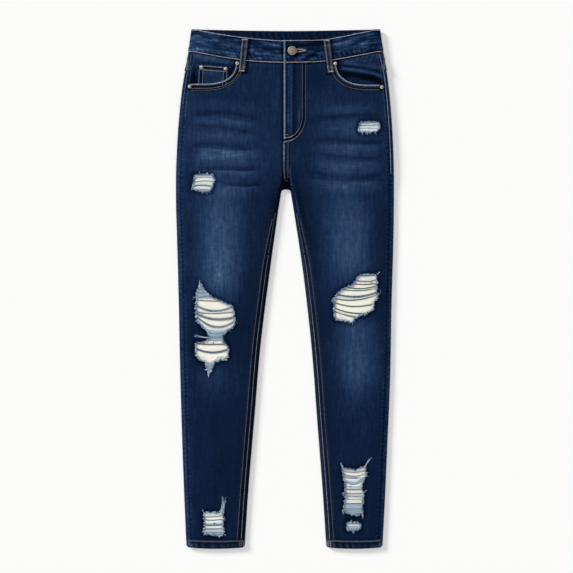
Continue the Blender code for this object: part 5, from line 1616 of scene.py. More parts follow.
def back_seat(side, outer_y, centre_y, columns):
    """Rows of the seat up to the yoke, filled to the leg's columns; and how many are cloth."""
    steps = np.linspace(0.0, 1.0, BACK_ROWS)[1:]
    middle_y = blend(centre_y + EDGE_ROUND, YOKE_CENTRE_Y - GAP, steps)
    inner = np.stack([np.full(len(steps), CENTRE_X + side * SEAM_GAP / 2), middle_y], axis=1)
    first, first_n, foot = side_rows(side, blend(outer_y, YOKE_SIDE_Y - GAP, steps))
    under, under_n = under_rows(foot, inner)
    used = first.shape[1] + under.shape[1]
    last = np.repeat(with_height(inner, lift(middle_y) + STITCH_ROOM)[:, None], columns - used, axis=1)
    points = np.concatenate([first, under, last], axis=1)
    return points, np.concatenate([first_n, under_n, upright(last, -1.0)], axis=1), used


def build_back(side):
    """A back panel: the leg's rows and the seat's, with the hem's light and dark."""
    lower, lower_n, outer_y, centre_y = back_leg(side)
    upper, upper_n, used = back_seat(side, outer_y, centre_y, lower.shape[1])
    outside, normals = np.concatenate([lower, upper]), np.concatenate([lower_n, upper_n])
    keep = np.ones((outside.shape[0] - 1, outside.shape[1] - 1), bool)
    keep[len(lower) - 1:, used:] = False
    outside[..., 1] -= hem_sag(side, outside[..., 0], outside[..., 1])
    x, y = outside[..., 0], outside[..., 1]
    hem = y - (HEM_END - hem_sag(side, x, HEM_END))
    rope = blocks(x + hem * 0.25, 61 + side, 13.0)
    tone = edge_tone(outside, side) + bands(hem, (0.6, 1.2, 0.12), (13.2, 2.0, 0.08))
    tone = tone + (0.10 + 0.08 * rope) * bell(hem - 5.0, 5.4)
    return shell("back_" + WORD[side], outside, normals, hem_wall(hem), tone, keep,
                 nodes=("back_panel_" + WORD[side],), grey=greyed(side, x, y, hem))


def build_yoke(side):
    """A yoke, from the side strip on top round under the band to the centre back."""
    shares = np.linspace(0.0, 1.0, 16)
    side_y = blend(YOKE_SIDE_Y, BAND_SIDE_BOTTOM - GAP, shares)
    first, first_n, foot = side_rows(side, side_y)
    x = foot[:, :1] + (CENTRE_X + side * SEAM_GAP / 2 - foot[:, :1]) * np.append(UNDER, 1.0)[None]
    y = blend(yoke_y(side, x), back_band_bottom(x) - GAP, shares[:, None])
    under = np.stack([x, y, lift(y) + STITCH_ROOM], axis=-1)
    outside = np.concatenate([first, under], axis=1)
    normals = np.concatenate([first_n, upright(under, -1.0)], axis=1)
    return shell("back_yoke_" + WORD[side], outside, normals, DENIM, edge_tone(outside, side),
                 nodes=("yoke_" + WORD[side],))


# ------------------------------------------------------------------ pockets


def facing_height(side, x, y):
    """The facing's height, flush at the outseam and dipping to the mouth; and how near the mouth is."""
    across = np.maximum(0.0, MOUTH_CENTRE - side * (x - CENTRE_X)) / MOUTH_HALF_WIDTH
    down = np.maximum(0.0, MOUTH_TOP - y) / MOUTH_DEPTH
    near = (across ** MOUTH_ROUNDNESS + down ** MOUTH_ROUNDNESS) ** (1 / MOUTH_ROUNDNESS)
    start, end = FACING_DIP
    return top(x, y) - FACING_DROP * ease((near - start) / (end - start)), near


def left_sag(x, y):
    """Down from the hollow where the wearer's left facing sags, and how much it does there."""
    line = 421.0 - 0.16 * (x - 118.0) - 3.0 * ease((x - 172.0) / 14.0)
    return y - line, ease((x - 104.0) / 14.0) * ease((196.0 - x) / 14.0)


# Painted shade in the hollows of the wearer's right facing: place, width and height of each, and its strength
HOLLOWS = ((-178.0, 409.0, 9.0, 14.0, 0.15), (-101.0, 421.0, 5.0, 14.0, 0.10),
           (-177.0, 414.0, 5.0, 20.0, 0.24), (-106.0, 410.0, 4.0, 20.0, 0.16))
# Painted light and shade along the sag of the wearer's left facing: how far down, width and darkness; and its
# troughs
SAG_SHADES = ((-1.0, 5.0, 0.42), (8.0, 3.4, -0.20), (14.6, 2.4, 0.16), (-12.0, 3.0, -0.13),
              (21.0, 3.0, -0.12))
SAG_TROUGHS = ((0.0, 4.5, 0.9), (9.0, 4.0, -0.45), (18.0, 3.0, 0.3))


def facing_shade(side, x, y):
    """Painted light and shade of a facing's own folds."""
    if side > 0:
        down, share = left_sag(x, y)
        return -share * bands(down, *SAG_SHADES)
    shade = -0.18 * bell(y - 438.6 + 0.075 * (x + 140.0), 1.8) * bell(x + 140.0, 34.0)
    for cx, cy, width, tall, strength in HOLLOWS:
        shade = shade - strength * bell(x - cx, width) * bell(y - cy, tall)
    return shade


def build_facing(side):
    """What shows in a pocket mouth, and a little more under the front."""
    curve = mouth_curve(side, FACING_UNDER, 16)
    ys = np.linspace(curve[-1, 1], BAND_SIDE_BOTTOM - 1.2, 8)
    seam = np.stack([outer_x(side, ys) - side * (OUTSEAM_INSET + GAP), ys], axis=1)
    xs = np.linspace(seam[-1, 0], curve[0, 0], 12)
    waist = np.stack([xs, front_band_bottom(xs) - GAP], axis=1)

    def height(x, y):
        z, _ = facing_height(side, x, y)
        if side > 0:
            down, share = left_sag(x, y)
            return z - share * bands(down, *SAG_TROUGHS)
        return z - 0.5 * bell(x + 178.0, 5.0) * bell(y - 418.0, 16.0)

    def tone(x, y):
        _, near = facing_height(side, x, y)
        off = front_band_bottom(x) - y
        ripple = pucker(x + off * 0.5, 81, 11.0)
        plain, pale = (0.34, 0.08) if side > 0 else (0.41, 0.15)
        # The first band is painted shadow just under the band's edge.
        shade = plain + bands(off, (0.5, 2.6, -0.20), (7.0, 6.0, pale)) + 0.07 * ripple * bell(off - 8.0, 7.0)
        # Painted shade deep in the mouth, where the facing dips under the front's edge.
        shade = shade - 0.22 * ease((near - 0.80) / 0.16) + 0.10 * noise(x / 14.0, y / 3.4, 14)
        return shade + trim_shade(x, y) + facing_shade(side, x, y)

    return layer("pocket_facing_cloth_" + WORD[side], np.vstack([curve, seam, waist]), height, LINING, tone,
                 spacing=1.8, nodes=("pocket_facing_" + WORD[side],))


def build_coin_pocket():
    """A flat pocket on the wearer's right facing, with a rolled rim."""
    outline = np.array(COIN_OUTLINE)
    edge = resample(outline, 1.5, closed=True)

    def height(x, y):
        rim, _ = from_line(x, y, edge, closed=True)
        z, _ = facing_height(RIGHT, x, y)
        return z + 1.25 + 0.25 * ease((8.0 - rim) / 2.0) + roll(rim, 1.2, 0.7)

    def tone(x, y):
        rim, _ = from_line(x, y, edge, closed=True)
        shade = 0.40 + bands(rim, (0.0, 0.9, 0.22), (4.4, 2.2, -0.26), (14.0, 6.0, 0.06))
        return shade + 0.05 * noise(x / 5.0, y / 8.0, 15) + 0.6 * trim_shade(x, y)

    return layer("coin_pocket_cloth", outline, height, LINING, tone, spacing=1.5, nodes=("coin_pocket",))


def build_back_pocket(side):
    """A plain patch pocket under the back panel, with a rolled rim."""
    middle = CENTRE_X + side * POCKET_X
    outline = np.array([(middle + x, POCKET_TOP + y) for x, y in POCKET_SHAPE])
    edge = resample(outline, 2.0, closed=True)

    def height(x, y):
        rim, _ = from_line(x, y, edge, closed=True)
        return STITCH_ROOM - roll(rim, 1.4, 0.6)

    def tone(x, y):
        rim, _ = from_line(x, y, edge, closed=True)
        return 0.44 + bands(rim, (0.0, 1.2, 0.26), (4.5, 2.0, -0.10)) + 0.04 * noise(x / 20.0, y / 20.0, 17)

    return layer("back_pocket_cloth_" + WORD[side], outline, height, PATCH_WALL - STITCH_ROOM, tone,
                 spacing=3.0, up=-1.0, nodes=("back_pocket_" + WORD[side],))


# ------------------------------------------------------------------ waistband

BAND_ROWS = np.linspace(0.0, 1.0, 24)
BAND_DEPTH = 43.0
band_grids = {}         # the outside of each half, for its stitches


def band_front(side, first):
    """A half's face on top; and the drag fold beside the button, which raises the band and gives its painted
    light and shade.
    """
    foot = float(outer_x(side, BAND_SIDE_BOTTOM)) - side * OUTSEAM_INSET
    xs = np.linspace(first, foot, int(abs(foot - first) / 2.2))
    v = BAND_ROWS[None]
    x = np.repeat(xs[:, None], len(BAND_ROWS), axis=1)
    y = blend(front_band_bottom(x), front_band_top(x), v)
    low, high = v * BAND_DEPTH, (1.0 - v) * BAND_DEPTH
    roped = pucker(x + v * 14.0, 91 + side, 7.5)
    relief = 0.20 * noise(x / 34.0, y / 5.0, 92) + 0.12 * noise(x / 16.0, y / 2.6, 93)
    relief = relief + roped * bands(low, (4.3, 5.0, 0.16), (39.99, 4.0, 0.10))
    relief = relief + roll(low, 1.8, 0.8) + roll(high, 1.8, 0.9) - 0.35 * bell(low - 2.8, 1.0)
    relief = relief - 0.35 * bell(high - 2.8, 1.0)
    drag = np.zeros(x.shape)
    if side > 0:
        relief = relief + roll(np.maximum(x - first, 0.0), 1.6, 0.9) + lap_rise(x)
        line = (y - 455.0) - (x - 40.0) * 0.55
        drag = bell(line, 3.4) * bell(x - 36.0, 22.0) - bell(line + 8.0, 3.0) * bell(x - 44.0, 20.0)
    return np.stack([x, y, top(x, y) + BAND_PROUD + relief + 0.35 * drag], axis=-1), drag


def band_back(side):
    """A half's flat face underneath, from the side to the centre back."""
    foot = float(outer_x(side, BAND_SIDE_BOTTOM)) - side * 2 * OUTSEAM_INSET
    xs = np.linspace(foot, CENTRE_X + side * GAP / 2, 46)
    x = np.repeat(xs[:, None], len(BAND_ROWS), axis=1)
    y = blend(back_band_bottom(x), back_band_top(x), BAND_ROWS[None])
    return np.stack([x, y, lift(y) + STITCH_ROOM], axis=-1)


def band_tone(side, run, level):
    """Worn streaks along the band, dark edges, and roping along its foot."""
    wisps = noise(run / 17.0, level / 2.4, 95) + 0.5 * noise(run / 8.0, level / 1.7, 96)
    tone = (0.30 if side > 0 else 0.36) + 0.17 * noise(run / 60.0, level / 5.5, 97)
    tone = tone + 0.34 * np.maximum(0.0, wisps - 0.1) ** 0.8 - 0.16 * np.maximum(0.0, -wisps)
    tone = tone + bands(level, (0.6, 1.6, -0.14), (8.0, 5.0, 0.10), (31.0, 4.0, 0.06))
    tone = tone + bands(BAND_DEPTH - level, (0.0, 1.0, 0.14), (4.0, 2.0, -0.18))
    rope = blocks(run + level * 0.5, 91 + side, 9.4) * (0.7 + 0.5 * noise(run / 40.0, 0.0, 100))
    return tone + 0.17 * rope * (1.0 - 0.7 * bell(run - 34.0, 46.0)) * bell(level - 8.0, 5.4)


def lap_tone(side, x, y):
    """Painted light and shade at the lapped ends and round the button: painted shade on the right end beside
    the left end's edge, a pale edge with a dark band beside it on the left end, and painted shade round the
    button and on its +X side.
    """
    if side < 0:
        return 0.03 - 0.26 * bell(x - LAP_EDGE_X + 2.4, 3.4)
    ring = np.hypot(x - BUTTON_X - 1.0, y - BUTTON_Y + 1.0)
    edge = bands(x - LAP_EDGE_X, (0.6, 1.3, 0.40), (4.6, 2.6, -0.20))
    return edge - 0.30 * bell(ring - 9.4, 2.6) - 0.09 * bell(x - 50.0, 24.0)


def build_waistband(side):
    """From its front end round the side fold to the centre back."""
    front, drag = band_front(side, LAP_EDGE_X if side > 0 else LAP_UNDER_X)
    side_y = blend(BAND_SIDE_BOTTOM, BAND_SIDE_TOP, BAND_ROWS)
    edge = np.stack([outer_x(side, side_y), side_y], axis=1)
    out = np.broadcast_to(np.array([float(side), 0.0]), edge.shape)
    proud = BAND_PROUD * ease((FOLD + 90.0) / 180.0)
    fold, fold_n = fold_points(edge[None], out[None], FOLD[:, None], proud[:, None])
    back = band_back(side)
    outside = np.concatenate([front, fold, back])
    normals = np.concatenate([upright(front), fold_n, upright(back, -1.0)])
    run = np.concatenate([front[..., 0], np.repeat(edge[None, :, 0], len(FOLD), axis=0), back[..., 0]])
    level = np.repeat(BAND_ROWS[None] * BAND_DEPTH, len(outside), axis=0)
    x, y = front[..., 0], front[..., 1]
    tone = band_tone(side, run, level)
    # Painted light and shade of the drag fold, painted shadow round the trim, and the lapped ends' painted
    # light and shade.
    tone[:len(front)] += 0.22 * drag + trim_shade(x, y) + lap_tone(side, x, y)
    ribs = blocks(run + 3.0 * noise(level / 9.0, 0.0, 99), 94, 11.0) * ease((BAND_DEPTH - level) / 4.0)
    band_grids[side] = (outside, normals)
    return shell("waistband_cloth_" + WORD[side], outside, normals, BAND_CLOTH, tone,
                 inside_tone=0.24 + 0.10 * ribs, nodes=("waistband_" + WORD[side],))


# ------------------------------------------------------------------ belt loops

SideLoop = namedtuple("SideLoop", "name side top_round top_y foot_round foot_y")
SIDE_LOOPS = (
    SideLoop("belt_loop_side_right", RIGHT, 14.0, 502.0, -1.0, 426.0),
    SideLoop("belt_loop_side_left", LEFT, 14.0, 502.0, -1.0, 427.0),
)
loop_grids = {}         # the outside of each loop, for its stitches


def loop_proud(y, band_bottom):
    """How far a loop stands out over the edge of the band."""
    return BAND_PROUD * ease((y - band_bottom + 9.0) / 8.0)


def loop_section(count=17):
    """Across a loop: two folded edges with a shallow valley between them."""
    across = np.linspace(-0.5, 0.5, count)
    off = np.abs(across) * LOOP_WIDTH
    rise = 0.30 * bell(off - 4.2, 1.5) - 0.18 * bell(off, 1.4) - 0.8 * clamp((off - 5.2) / 1.05) ** 2
    x = across * LOOP_WIDTH
    # Painted light: the left folded edge, towards the window lamp, is paler than the right one; painted shade
    # in the valley between them.
    tone = 0.44 + 0.34 * bell(x + 4.6, 1.9) - 0.16 * bell(x + 1.4, 1.2) + 0.20 * bell(x - 3.6, 2.0)
    return across, rise, tone


def loop_rows(low, high):
    """A loop's rows: how far across and along, height up the piece, relief, ends and tone."""
    across, rise, tone = loop_section()
    share = np.linspace(0.0, 1.0, 44)[:, None]
    near = np.minimum(share, 1.0 - share) * (high - low)
    ends = 0.45 * bell(near - 4.0, 2.6) - 0.9 * clamp(1.0 - near / 1.6) ** 2
    y = np.repeat(blend(low, high, share), len(across), axis=1)
    # Painted shade in the dip just inside each end.
    tone = tone[None] + 0.16 * noise(y / 6.0, 2.0, 18) - 0.16 * bell(near - 5.4, 1.5)
    return LOOP_WIDTH * across[None], share, y, rise[None], ends, tone


def finished_loop(name, outside, normals, thickness, tone):
    loop_grids[name] = (outside, normals)
    return shell(name + "_cloth", outside, normals, thickness, tone, inside_tone=0.4, kind="loop",
                 nodes=(name,))


def build_front_loop(loop):
    """A loop that lies flat over the front of the band."""
    across, share, y, rise, ends, tone = loop_rows(loop.foot_y, loop.top_y)
    x = blend(loop.foot_x, loop.top_x, share) + across
    base = top(x, y) + loop_proud(y, front_band_bottom(x)) + GAP + PATCH_WALL
    if "left" in loop.name:
        base = base + lap_rise(x)
    outside = np.stack([x, y, base + rise + ends], axis=-1)
    return finished_loop(loop.name, outside, upright(outside), PATCH_WALL - 0.25, tone)


def build_side_loop(loop):
    """A loop that goes round the fold at the side of the band."""
    across, share, y, rise, ends, tone = loop_rows(loop.foot_y, loop.top_y)
    distance = blend(loop.foot_round, loop.top_round, share) + across
    edge = np.stack([outer_x(loop.side, y), y], axis=-1)
    out = np.broadcast_to(np.array([float(loop.side), 0.0]), edge.shape)
    quarter = math.pi / 2 * (EDGE_ROUND + BODY_EDGE / 2) / 2
    turn = clamp(-distance / quarter, -1.0, 1.0) * 90.0
    proud = loop_proud(y, BAND_SIDE_BOTTOM) * ease((turn + 90.0) / 180.0)
    points, normals = fold_points(edge, out, turn, proud)
    points[..., 0] -= loop.side * np.maximum(0.0, np.abs(distance) - quarter)
    outside = points + normals * (GAP + PATCH_WALL + rise * 0.6 + ends * 0.3)[..., None]
    outside[..., 2] = np.maximum(outside[..., 2], STITCH_ROOM)
    return finished_loop(loop.name, outside, normals, PATCH_WALL - 0.25, tone)


def build_back_loop():
    """The hidden loop at the centre back, pressed flat."""
    across, _, y, rise, ends, tone = loop_rows(BACK_LOOP_FOOT_Y, float(back_band_top(CENTRE_X)) - 1.0)
    x = np.broadcast_to(CENTRE_X + across, y.shape)
    z = np.maximum(STITCH_ROOM, 0.5 - rise * 0.5 - ends * 0.4)
    outside = np.stack([x, y, z], axis=-1)
    return finished_loop("belt_loop_back", outside, upright(outside, -1.0), PATCH_WALL - 0.5, tone)


# ------------------------------------------------------------------ fly shield and zip


def build_fly_shield():
    """Plain cloth under the zip, rounded at its lower left corner."""
    foot, waist = FLY_LAP_TOP, FRONT_BAND_BOTTOM - GAP
    right, left = SHIELD_X
    turn = np.radians(np.linspace(-90.0, 0.0, 8))
    bend = np.stack([left - SHIELD_CORNER * (1 - np.cos(turn)),
                     foot + SHIELD_CORNER * (1 + np.sin(turn))], axis=1)
    outline = np.vstack([[(right, waist), (right, foot)], bend, [(left, waist)]])
    return layer("fly_shield_cloth", outline, lambda x, y: top(x, y) - 2.7, LINING,
                 lambda x, y: 0.5 + 0.05 * noise(x / 9.0, y / 30.0, 19), spacing=2.4, nodes=("fly_shield",))


ZIP_X, ZIP_FOOT, ZIP_TOP = 8.4, 295.0, 425.0
TOOTH_PITCH = 1.15
TOOTH_METAL = (150, 142, 130)


def build_zip():
    """Tape with two rows of teeth down its middle."""
    xs = ZIP_X + np.array([-16.4, -12.4, -8.4, -5.4, -3.4, -2.0, 0.0, 2.0, 3.4, 5.6, 9.6, 15.6])
    x, y = np.meshgrid(xs, np.linspace(ZIP_FOOT, ZIP_TOP, 66))
    cord = 0.25 * bell(np.abs(x - ZIP_X) - 2.4, 0.9)
    outside = np.stack([x, y, top(x, y) - 1.6 + cord], axis=-1)
    tape = shell("zip_tape_cloth", outside, upright(outside), 0.6, np.full(x.shape, 0.12), inside_tone=0.12,
                 nodes=("zip",))
    teeth = Tubes(6)
    for k, middle in enumerate(np.arange(ZIP_FOOT + 1.0, ZIP_TOP - 1.0, TOOTH_PITCH)):
        side = 1 if k % 2 else -1
        tooth_x = ZIP_X + side * np.array([-0.5, 0.8, 2.2])
        tooth_z = top(tooth_x, middle) - np.array([0.8, 0.85, 1.1])
        path = np.stack([tooth_x, np.full(3, middle), tooth_z], axis=1)
        teeth.add(path[None], np.array([[0.34, 0.42, 0.40]]), [linear(TOOTH_METAL)])
    teeth.piece("zip_teeth", "thread")
    return tape


# ------------------------------------------------------------------ stitching

GOLD = (186, 142, 84)
CHALK = (196, 204, 216)


def stitch_along(tubes, points, normals, colour, pitch=3.1, width=0.9, seed=1, fill=0.86, proud=0.3):
    """Raised stitches, one after another, along a line on a surface."""
    points, normals = np.asarray(points, float), np.asarray(normals, float)
    lengths = np.linalg.norm(np.diff(points, axis=0), axis=1)
    run = np.concatenate([[0.0], np.cumsum(lengths)])
    count = int(run[-1] / pitch)
    if count < 1:
        return
    rng = np.random.default_rng(seed)
    start = (np.arange(count) + 0.5 * (1 - fill)) * (run[-1] / count)
    share = np.array([0.0, 0.22, 0.78, 1.0])
    at = start[:, None] + share[None] * pitch * fill
    place = np.stack([np.interp(at, run, points[:, k]) for k in range(3)], axis=-1)
    up = np.stack([np.interp(at, run, normals[:, k]) for k in range(3)], axis=-1)
    up /= np.linalg.norm(up, axis=-1, keepdims=True) + 1e-9
    proud = blend(proud, -0.22, ease((-up[..., 2] - 0.3) / 0.4))
    place = place + up * np.where(np.array([True, False, False, True]), -0.25, proud)[..., None]
    radius = np.array([0.55, 1.0, 1.0, 0.55])[None] * width / 2 * rng.uniform(0.9, 1.1, (count, 1))
    shade = np.array(linear(colour))[None] * rng.uniform(0.78, 1.12, (count, 1))
    tubes.add(place, radius, shade, up)


class Sewing:
    """The finished cloth to sew on, and the stitches of the fronts, the seams and the back."""

    def __init__(self):
        points = np.concatenate(surfaces["verts"]) * MM
        self.cloth = BVHTree.FromPolygons([Vector(p) for p in points.tolist()], surfaces["faces"])
        self.front, self.seams, self.back = Tubes(5), Tubes(5), Tubes(5)

    def laid(self, line, step=1.5, below=False):
        """A line dropped on to the cloth from above, or raised to it from below."""
        sign = -1.0 if below else 1.0
        way = Vector((0.0, 0.0, -sign))
        found = []
        for x, y in resample(line, step):
            hit, _, _, _ = self.cloth.ray_cast(Vector((x * MM, y * MM, sign * 0.05)), way)
            if hit is not None:
                found.append((x, y, hit.z / MM))
        found = np.array(found).reshape(-1, 3)
        return found, np.tile((0.0, 0.0, sign), (len(found), 1))

    def sew(self, tubes, line, colour, step=1.5, below=False, **options):
        """Stitches along a line on the cloth."""
        points, normals = self.laid(line, step, below)
        if len(points) >= 2:
            stitch_along(tubes, points, normals, colour, **options)

    def sew_front(self, lines, colour, seed, width, **options):
        """The same along each of several lines on top."""
        for line in lines:
            self.sew(self.front, np.array(line, float), colour, seed=seed, width=width, **options)

    def tack(self, start, end, colour, width, seed=3):
        """A close zigzag of thread between two points on top."""
        start, end = np.array(start), np.array(end)
        length = math.hypot(*(end - start))
        ahead = (end - start) / length
        across = np.array([-ahead[1], ahead[0]])
        count = int(length / 0.5)
        rng = np.random.default_rng(seed)
        for k in range(count):
            middle = start + ahead * ((k + 0.5) / count * length)
            half = across * (width / 2 * rng.uniform(0.85, 1.1)) - ahead * 0.25
            self.sew(self.front, np.array([middle + half, middle - half]), colour, 0.8, pitch=width * 0.98,
                     width=0.62, seed=seed + k, fill=0.98, proud=0.42)


def leg_line(side, edge, share, low, high, more=0.0):
    """A line beside a leg's edge, a share of the inseam's inset and a little more inside it."""
    ys = np.arange(low, high, 6.0)
    if edge == "outer":
        return np.stack([outer_x(side, ys) - side * more, ys], axis=1)
    return np.stack([inner_x(side, ys) + side * (share * inseam_inset(ys) + more), ys], axis=1)


def offset_line(line, distance):
    """A line moved sideways, to its left for a positive distance."""
    line = resample(line, 2.0)
    way = np.gradient(line, axis=0)
    way /= np.linalg.norm(way, axis=1, keepdims=True) + 1e-9
    return line + distance * np.stack([-way[:, 1], way[:, 0]], axis=1)


# Rows of stitches along the pocket mouths: inset from the mouth, colour and width
MOUTH_STITCHES = {
    RIGHT: ((1.4, CHALK, 1.15), (3.1, (112, 122, 140), 0.9), (9.2, (134, 124, 114), 1.05),
            (13.0, (108, 106, 108), 0.85)),
    LEFT: ((1.4, CHALK, 1.05), (3.1, (124, 134, 152), 1.0), (6.2, (66, 76, 94), 0.7),
           (10.4, (128, 115, 102), 1.0)),
}
# Stretches of the worn stitches beside the inseam, from the hem up: foot, head and colour on each side
INSEAM_STITCHES = (
    (-487.0, -60.0, {RIGHT: (124, 130, 140), LEFT: (124, 146, 172)}),
    (-60.0, 70.0, {RIGHT: (104, 110, 122), LEFT: (104, 126, 154)}),
    (70.0, 152.0, {RIGHT: (78, 86, 98), LEFT: (78, 102, 130)}),
)

# Rows beside the outseam up to the band: foot, inset, colour, seed and width
OUTSEAM_STITCHES = {
    RIGHT: ((360.0, 5.4, (108, 122, 144), 15, 0.85), (334.0, 11.6, (84, 96, 118), 16, 0.7)),
    LEFT: ((224.0, 6.0, (150, 162, 180), 15, 1.0), (334.0, 11.6, (84, 96, 118), 16, 0.7)),
}
OUTSEAM_HEAD = 462.0


def sew_edges(sewing, side):
    """The waistband's two rows, and the rows along the pocket mouth."""
    outside, normals = band_grids[side]
    for row, share, colour, width in ((0, 0.1, (198, 194, 188), 1.15), (-2, 0.0, (188, 192, 196), 1.1)):
        line = blend(outside[:, row], outside[:, row + 1], share)
        stitch_along(sewing.seams, line, normals[:, row], colour, seed=5 + side, width=width)
    mouth = mouth_line(side)[1:]
    for inset, colour, width in MOUTH_STITCHES[side]:
        line = offset_line(mouth, -side * inset)[2:]
        line = line[np.abs(line[:, 0]) < 185.0]
        sewing.sew(sewing.front, line, colour, seed=11 + int(inset), width=width)


def sew_leg_seams(sewing, side):
    """The inseam and the upper outseam."""
    for low, high, colours in INSEAM_STITCHES:
        sewing.sew(sewing.seams, leg_line(side, "inner", 0.42, low, high, 2.0), colours[side], seed=13,
                   width=1.2 if side < 0 else 1.3)
    inner = leg_line(side, "inner", 1.0, -487.0, 140.0, 1.9)
    sewing.sew(sewing.seams, inner, (82, 94, 116) if side > 0 else (110, 104, 98), seed=14, width=0.95)
    for low, inset, colour, seed, width in OUTSEAM_STITCHES[side]:
        line = leg_line(side, "outer", 0.0, low, OUTSEAM_HEAD, inset)
        sewing.sew(sewing.seams, line, colour, seed=seed, width=width)


def sew_hem(sewing, side):
    """Two rows round the hem, seen on top and underneath, and three short ones at its joint."""
    xs = np.linspace(float(outer_x(side, -488.0)) - side * 4.5, float(inner_x(side, -488.0)) + side * 4.0, 40)
    sag = hem_sag(side, xs, np.full(40, HEM_END + 10.0))
    for level in (14.2, 12.8):
        hem = np.stack([xs, HEM_END + level - sag], axis=1)
        sewing.sew(sewing.front, hem, (92, 98, 112), seed=17, width=1.1, pitch=3.4)
        sewing.sew(sewing.back, hem, (104, 116, 136), below=True, seed=18, width=1.1, pitch=3.4)
    joint = float(inner_x(side, -490.0)) + side * 6.0
    for shift in (-3.8, -0.4, 3.2):
        dash = ((joint + shift, HEM_END + 1.5), (joint + shift + 0.6 * side, HEM_END + 13.5))
        sewing.sew_front([dash], (196, 204, 208) if side > 0 else (136, 138, 144), 19 + int(shift), 1.0,
                         pitch=3.9, fill=0.72)


def sew_back(sewing, side):
    """Double rows round the back pocket, along its top and along the yoke."""
    middle = CENTRE_X + side * POCKET_X
    half, depth = POCKET_SHAPE[1][0], -POCKET_SHAPE[3][1]
    rim = np.array(POCKET_SHAPE[:1] + POCKET_SHAPE[:1:-1] + POCKET_SHAPE[1:2], float)
    for inset in (2.0, 8.0):
        shrink = (1 - inset / (half - 2.0), 1 - inset / depth)
        sewing.sew(sewing.back, (middle, POCKET_TOP) + rim * shrink, GOLD, below=True, seed=21)
    for inset in (2.0, 9.0):
        row = np.array([(middle - 61.0, POCKET_TOP - inset), (middle + 61.0, POCKET_TOP - inset)])
        sewing.sew(sewing.back, row, GOLD, below=True, seed=22)
    xs = np.linspace(CENTRE_X + side * 3.0, float(outer_x(side, YOKE_SIDE_Y)) - side * 5.0, 30)
    for inset in (1.8, 7.8):
        sewing.sew(sewing.back, np.stack([xs, yoke_y(side, xs) - inset], axis=1), GOLD, below=True, seed=23)


def sew_fly(sewing):
    """The lap's edge, the J beside it, and the centre seam down to the crotch."""
    edge = [[(LAP_EDGE_X + inset, 293.0), (LAP_EDGE_X + inset, 440.0)] for inset in (1.0, 2.4)]
    sewing.sew_front(edge, (158, 168, 186), 31, 1.1)
    for inset in (0.0, 6.4):
        line = j_line(inset)
        sewing.sew_front([line[:7]], (112, 108, 112), 32, 0.85)
        sewing.sew_front([line[6:11]], (168, 158, 150), 33, 0.95)
        sewing.sew_front([line[10:]], (202, 196, 184), 33, 1.05)
    sewing.tack((0.4, 300.4), (6.4, 300.4), (132, 122, 88), 1.6)
    edge = [[(LAP_EDGE_X + inset, 443.0), (LAP_EDGE_X + inset, 484.0)] for inset in (0.9, 2.4)]
    sewing.sew_front(edge, (138, 158, 188), 38, 1.2)
    for inset in (0.0, 1.3):
        sewing.sew_front([[(0.0 - inset, 214.0), (-1.4 - inset, 236.0), (-1.5 - inset, 250.0)]],
                         (104, 112, 128), 34, 0.9)
        sewing.sew_front([[(-1.5 - inset, 250.0), (-1.6 - inset, 287.0)]], (140, 150, 168), 34, 0.95)
    sewing.sew_front([[(5.3, 216.0), (5.8, 286.0)]], (112, 110, 120), 35, 1.0)


def sew_coin_pocket(sewing):
    """Two rows along the top and two down each side."""
    rows = [[(-168, 434.6), (-112, 430.8)], [(-167, 427.4), (-112.6, 423.4)]]
    sewing.sew_front(rows, (190, 186, 174), 36, 0.95)
    ends = ((-166.4, -168.4), (-159.6, -161.4), (-112.6, -115.4), (-119.4, -122.0))
    sewing.sew_front([[(x0, 432.0), (x1, 398.0)] for x0, x1 in ends], (132, 138, 144), 37, 0.85)


def sew_loops(sewing):
    """A row along each edge of a loop, and a tack across each end that shows."""
    for name, (outside, normals) in loop_grids.items():
        for column in (3, -4):
            stitch_along(sewing.front, outside[2:-2, column], normals[2:-2, column], (112, 118, 130),
                         width=0.6, seed=41)
        if "side" in name:
            continue
        for row, colour, offset in ((1, (206, 196, 172), 0.9), (-2, (170, 164, 156), -0.5)):
            for shift in (-0.6, 0.0, 0.6):
                moved = outside[row, 2:-2] + np.array([0.0, shift + offset, 0.0])
                stitch_along(sewing.front, moved, normals[row, 2:-2], colour, pitch=2.2, width=0.75, seed=42,
                             fill=0.97, proud=0.36)
    for side in (RIGHT, LEFT):      # the worn square where each side loop's foot shows
        corners = ((2.2, 428.0), (8.6, 428.0), (8.2, 436.6), (1.8, 436.6), (2.2, 428.0))
        square = [(float(outer_x(side, y)) - side * inset, y) for inset, y in corners]
        sewing.sew_front([square], (118, 126, 142), 43, 0.9, pitch=2.4)


def sew_buttonhole(sewing):
    """A keyhole of close stitches running back from the button, and a tack at its end."""
    count = 34
    for k in range(count):
        share = k / (count - 1)
        x = blend(20.5, 38.6, share)
        half = 2.6 * (1.0 - share) ** 0.8 + 0.5
        for sign in (-1.0, 1.0):
            y = BUTTON_Y + 0.6 + sign * half
            line = np.array([(x, y - sign * 0.9), (x + 0.3, y + sign * 0.9)])
            sewing.sew(sewing.front, line, (196, 158, 98), 0.6, pitch=1.75, width=0.6, seed=50 + k, fill=0.98,
                       proud=0.5)
    sewing.tack((39.4, BUTTON_Y - 1.6), (39.4, BUTTON_Y + 2.8), (214, 190, 142), 2.2)


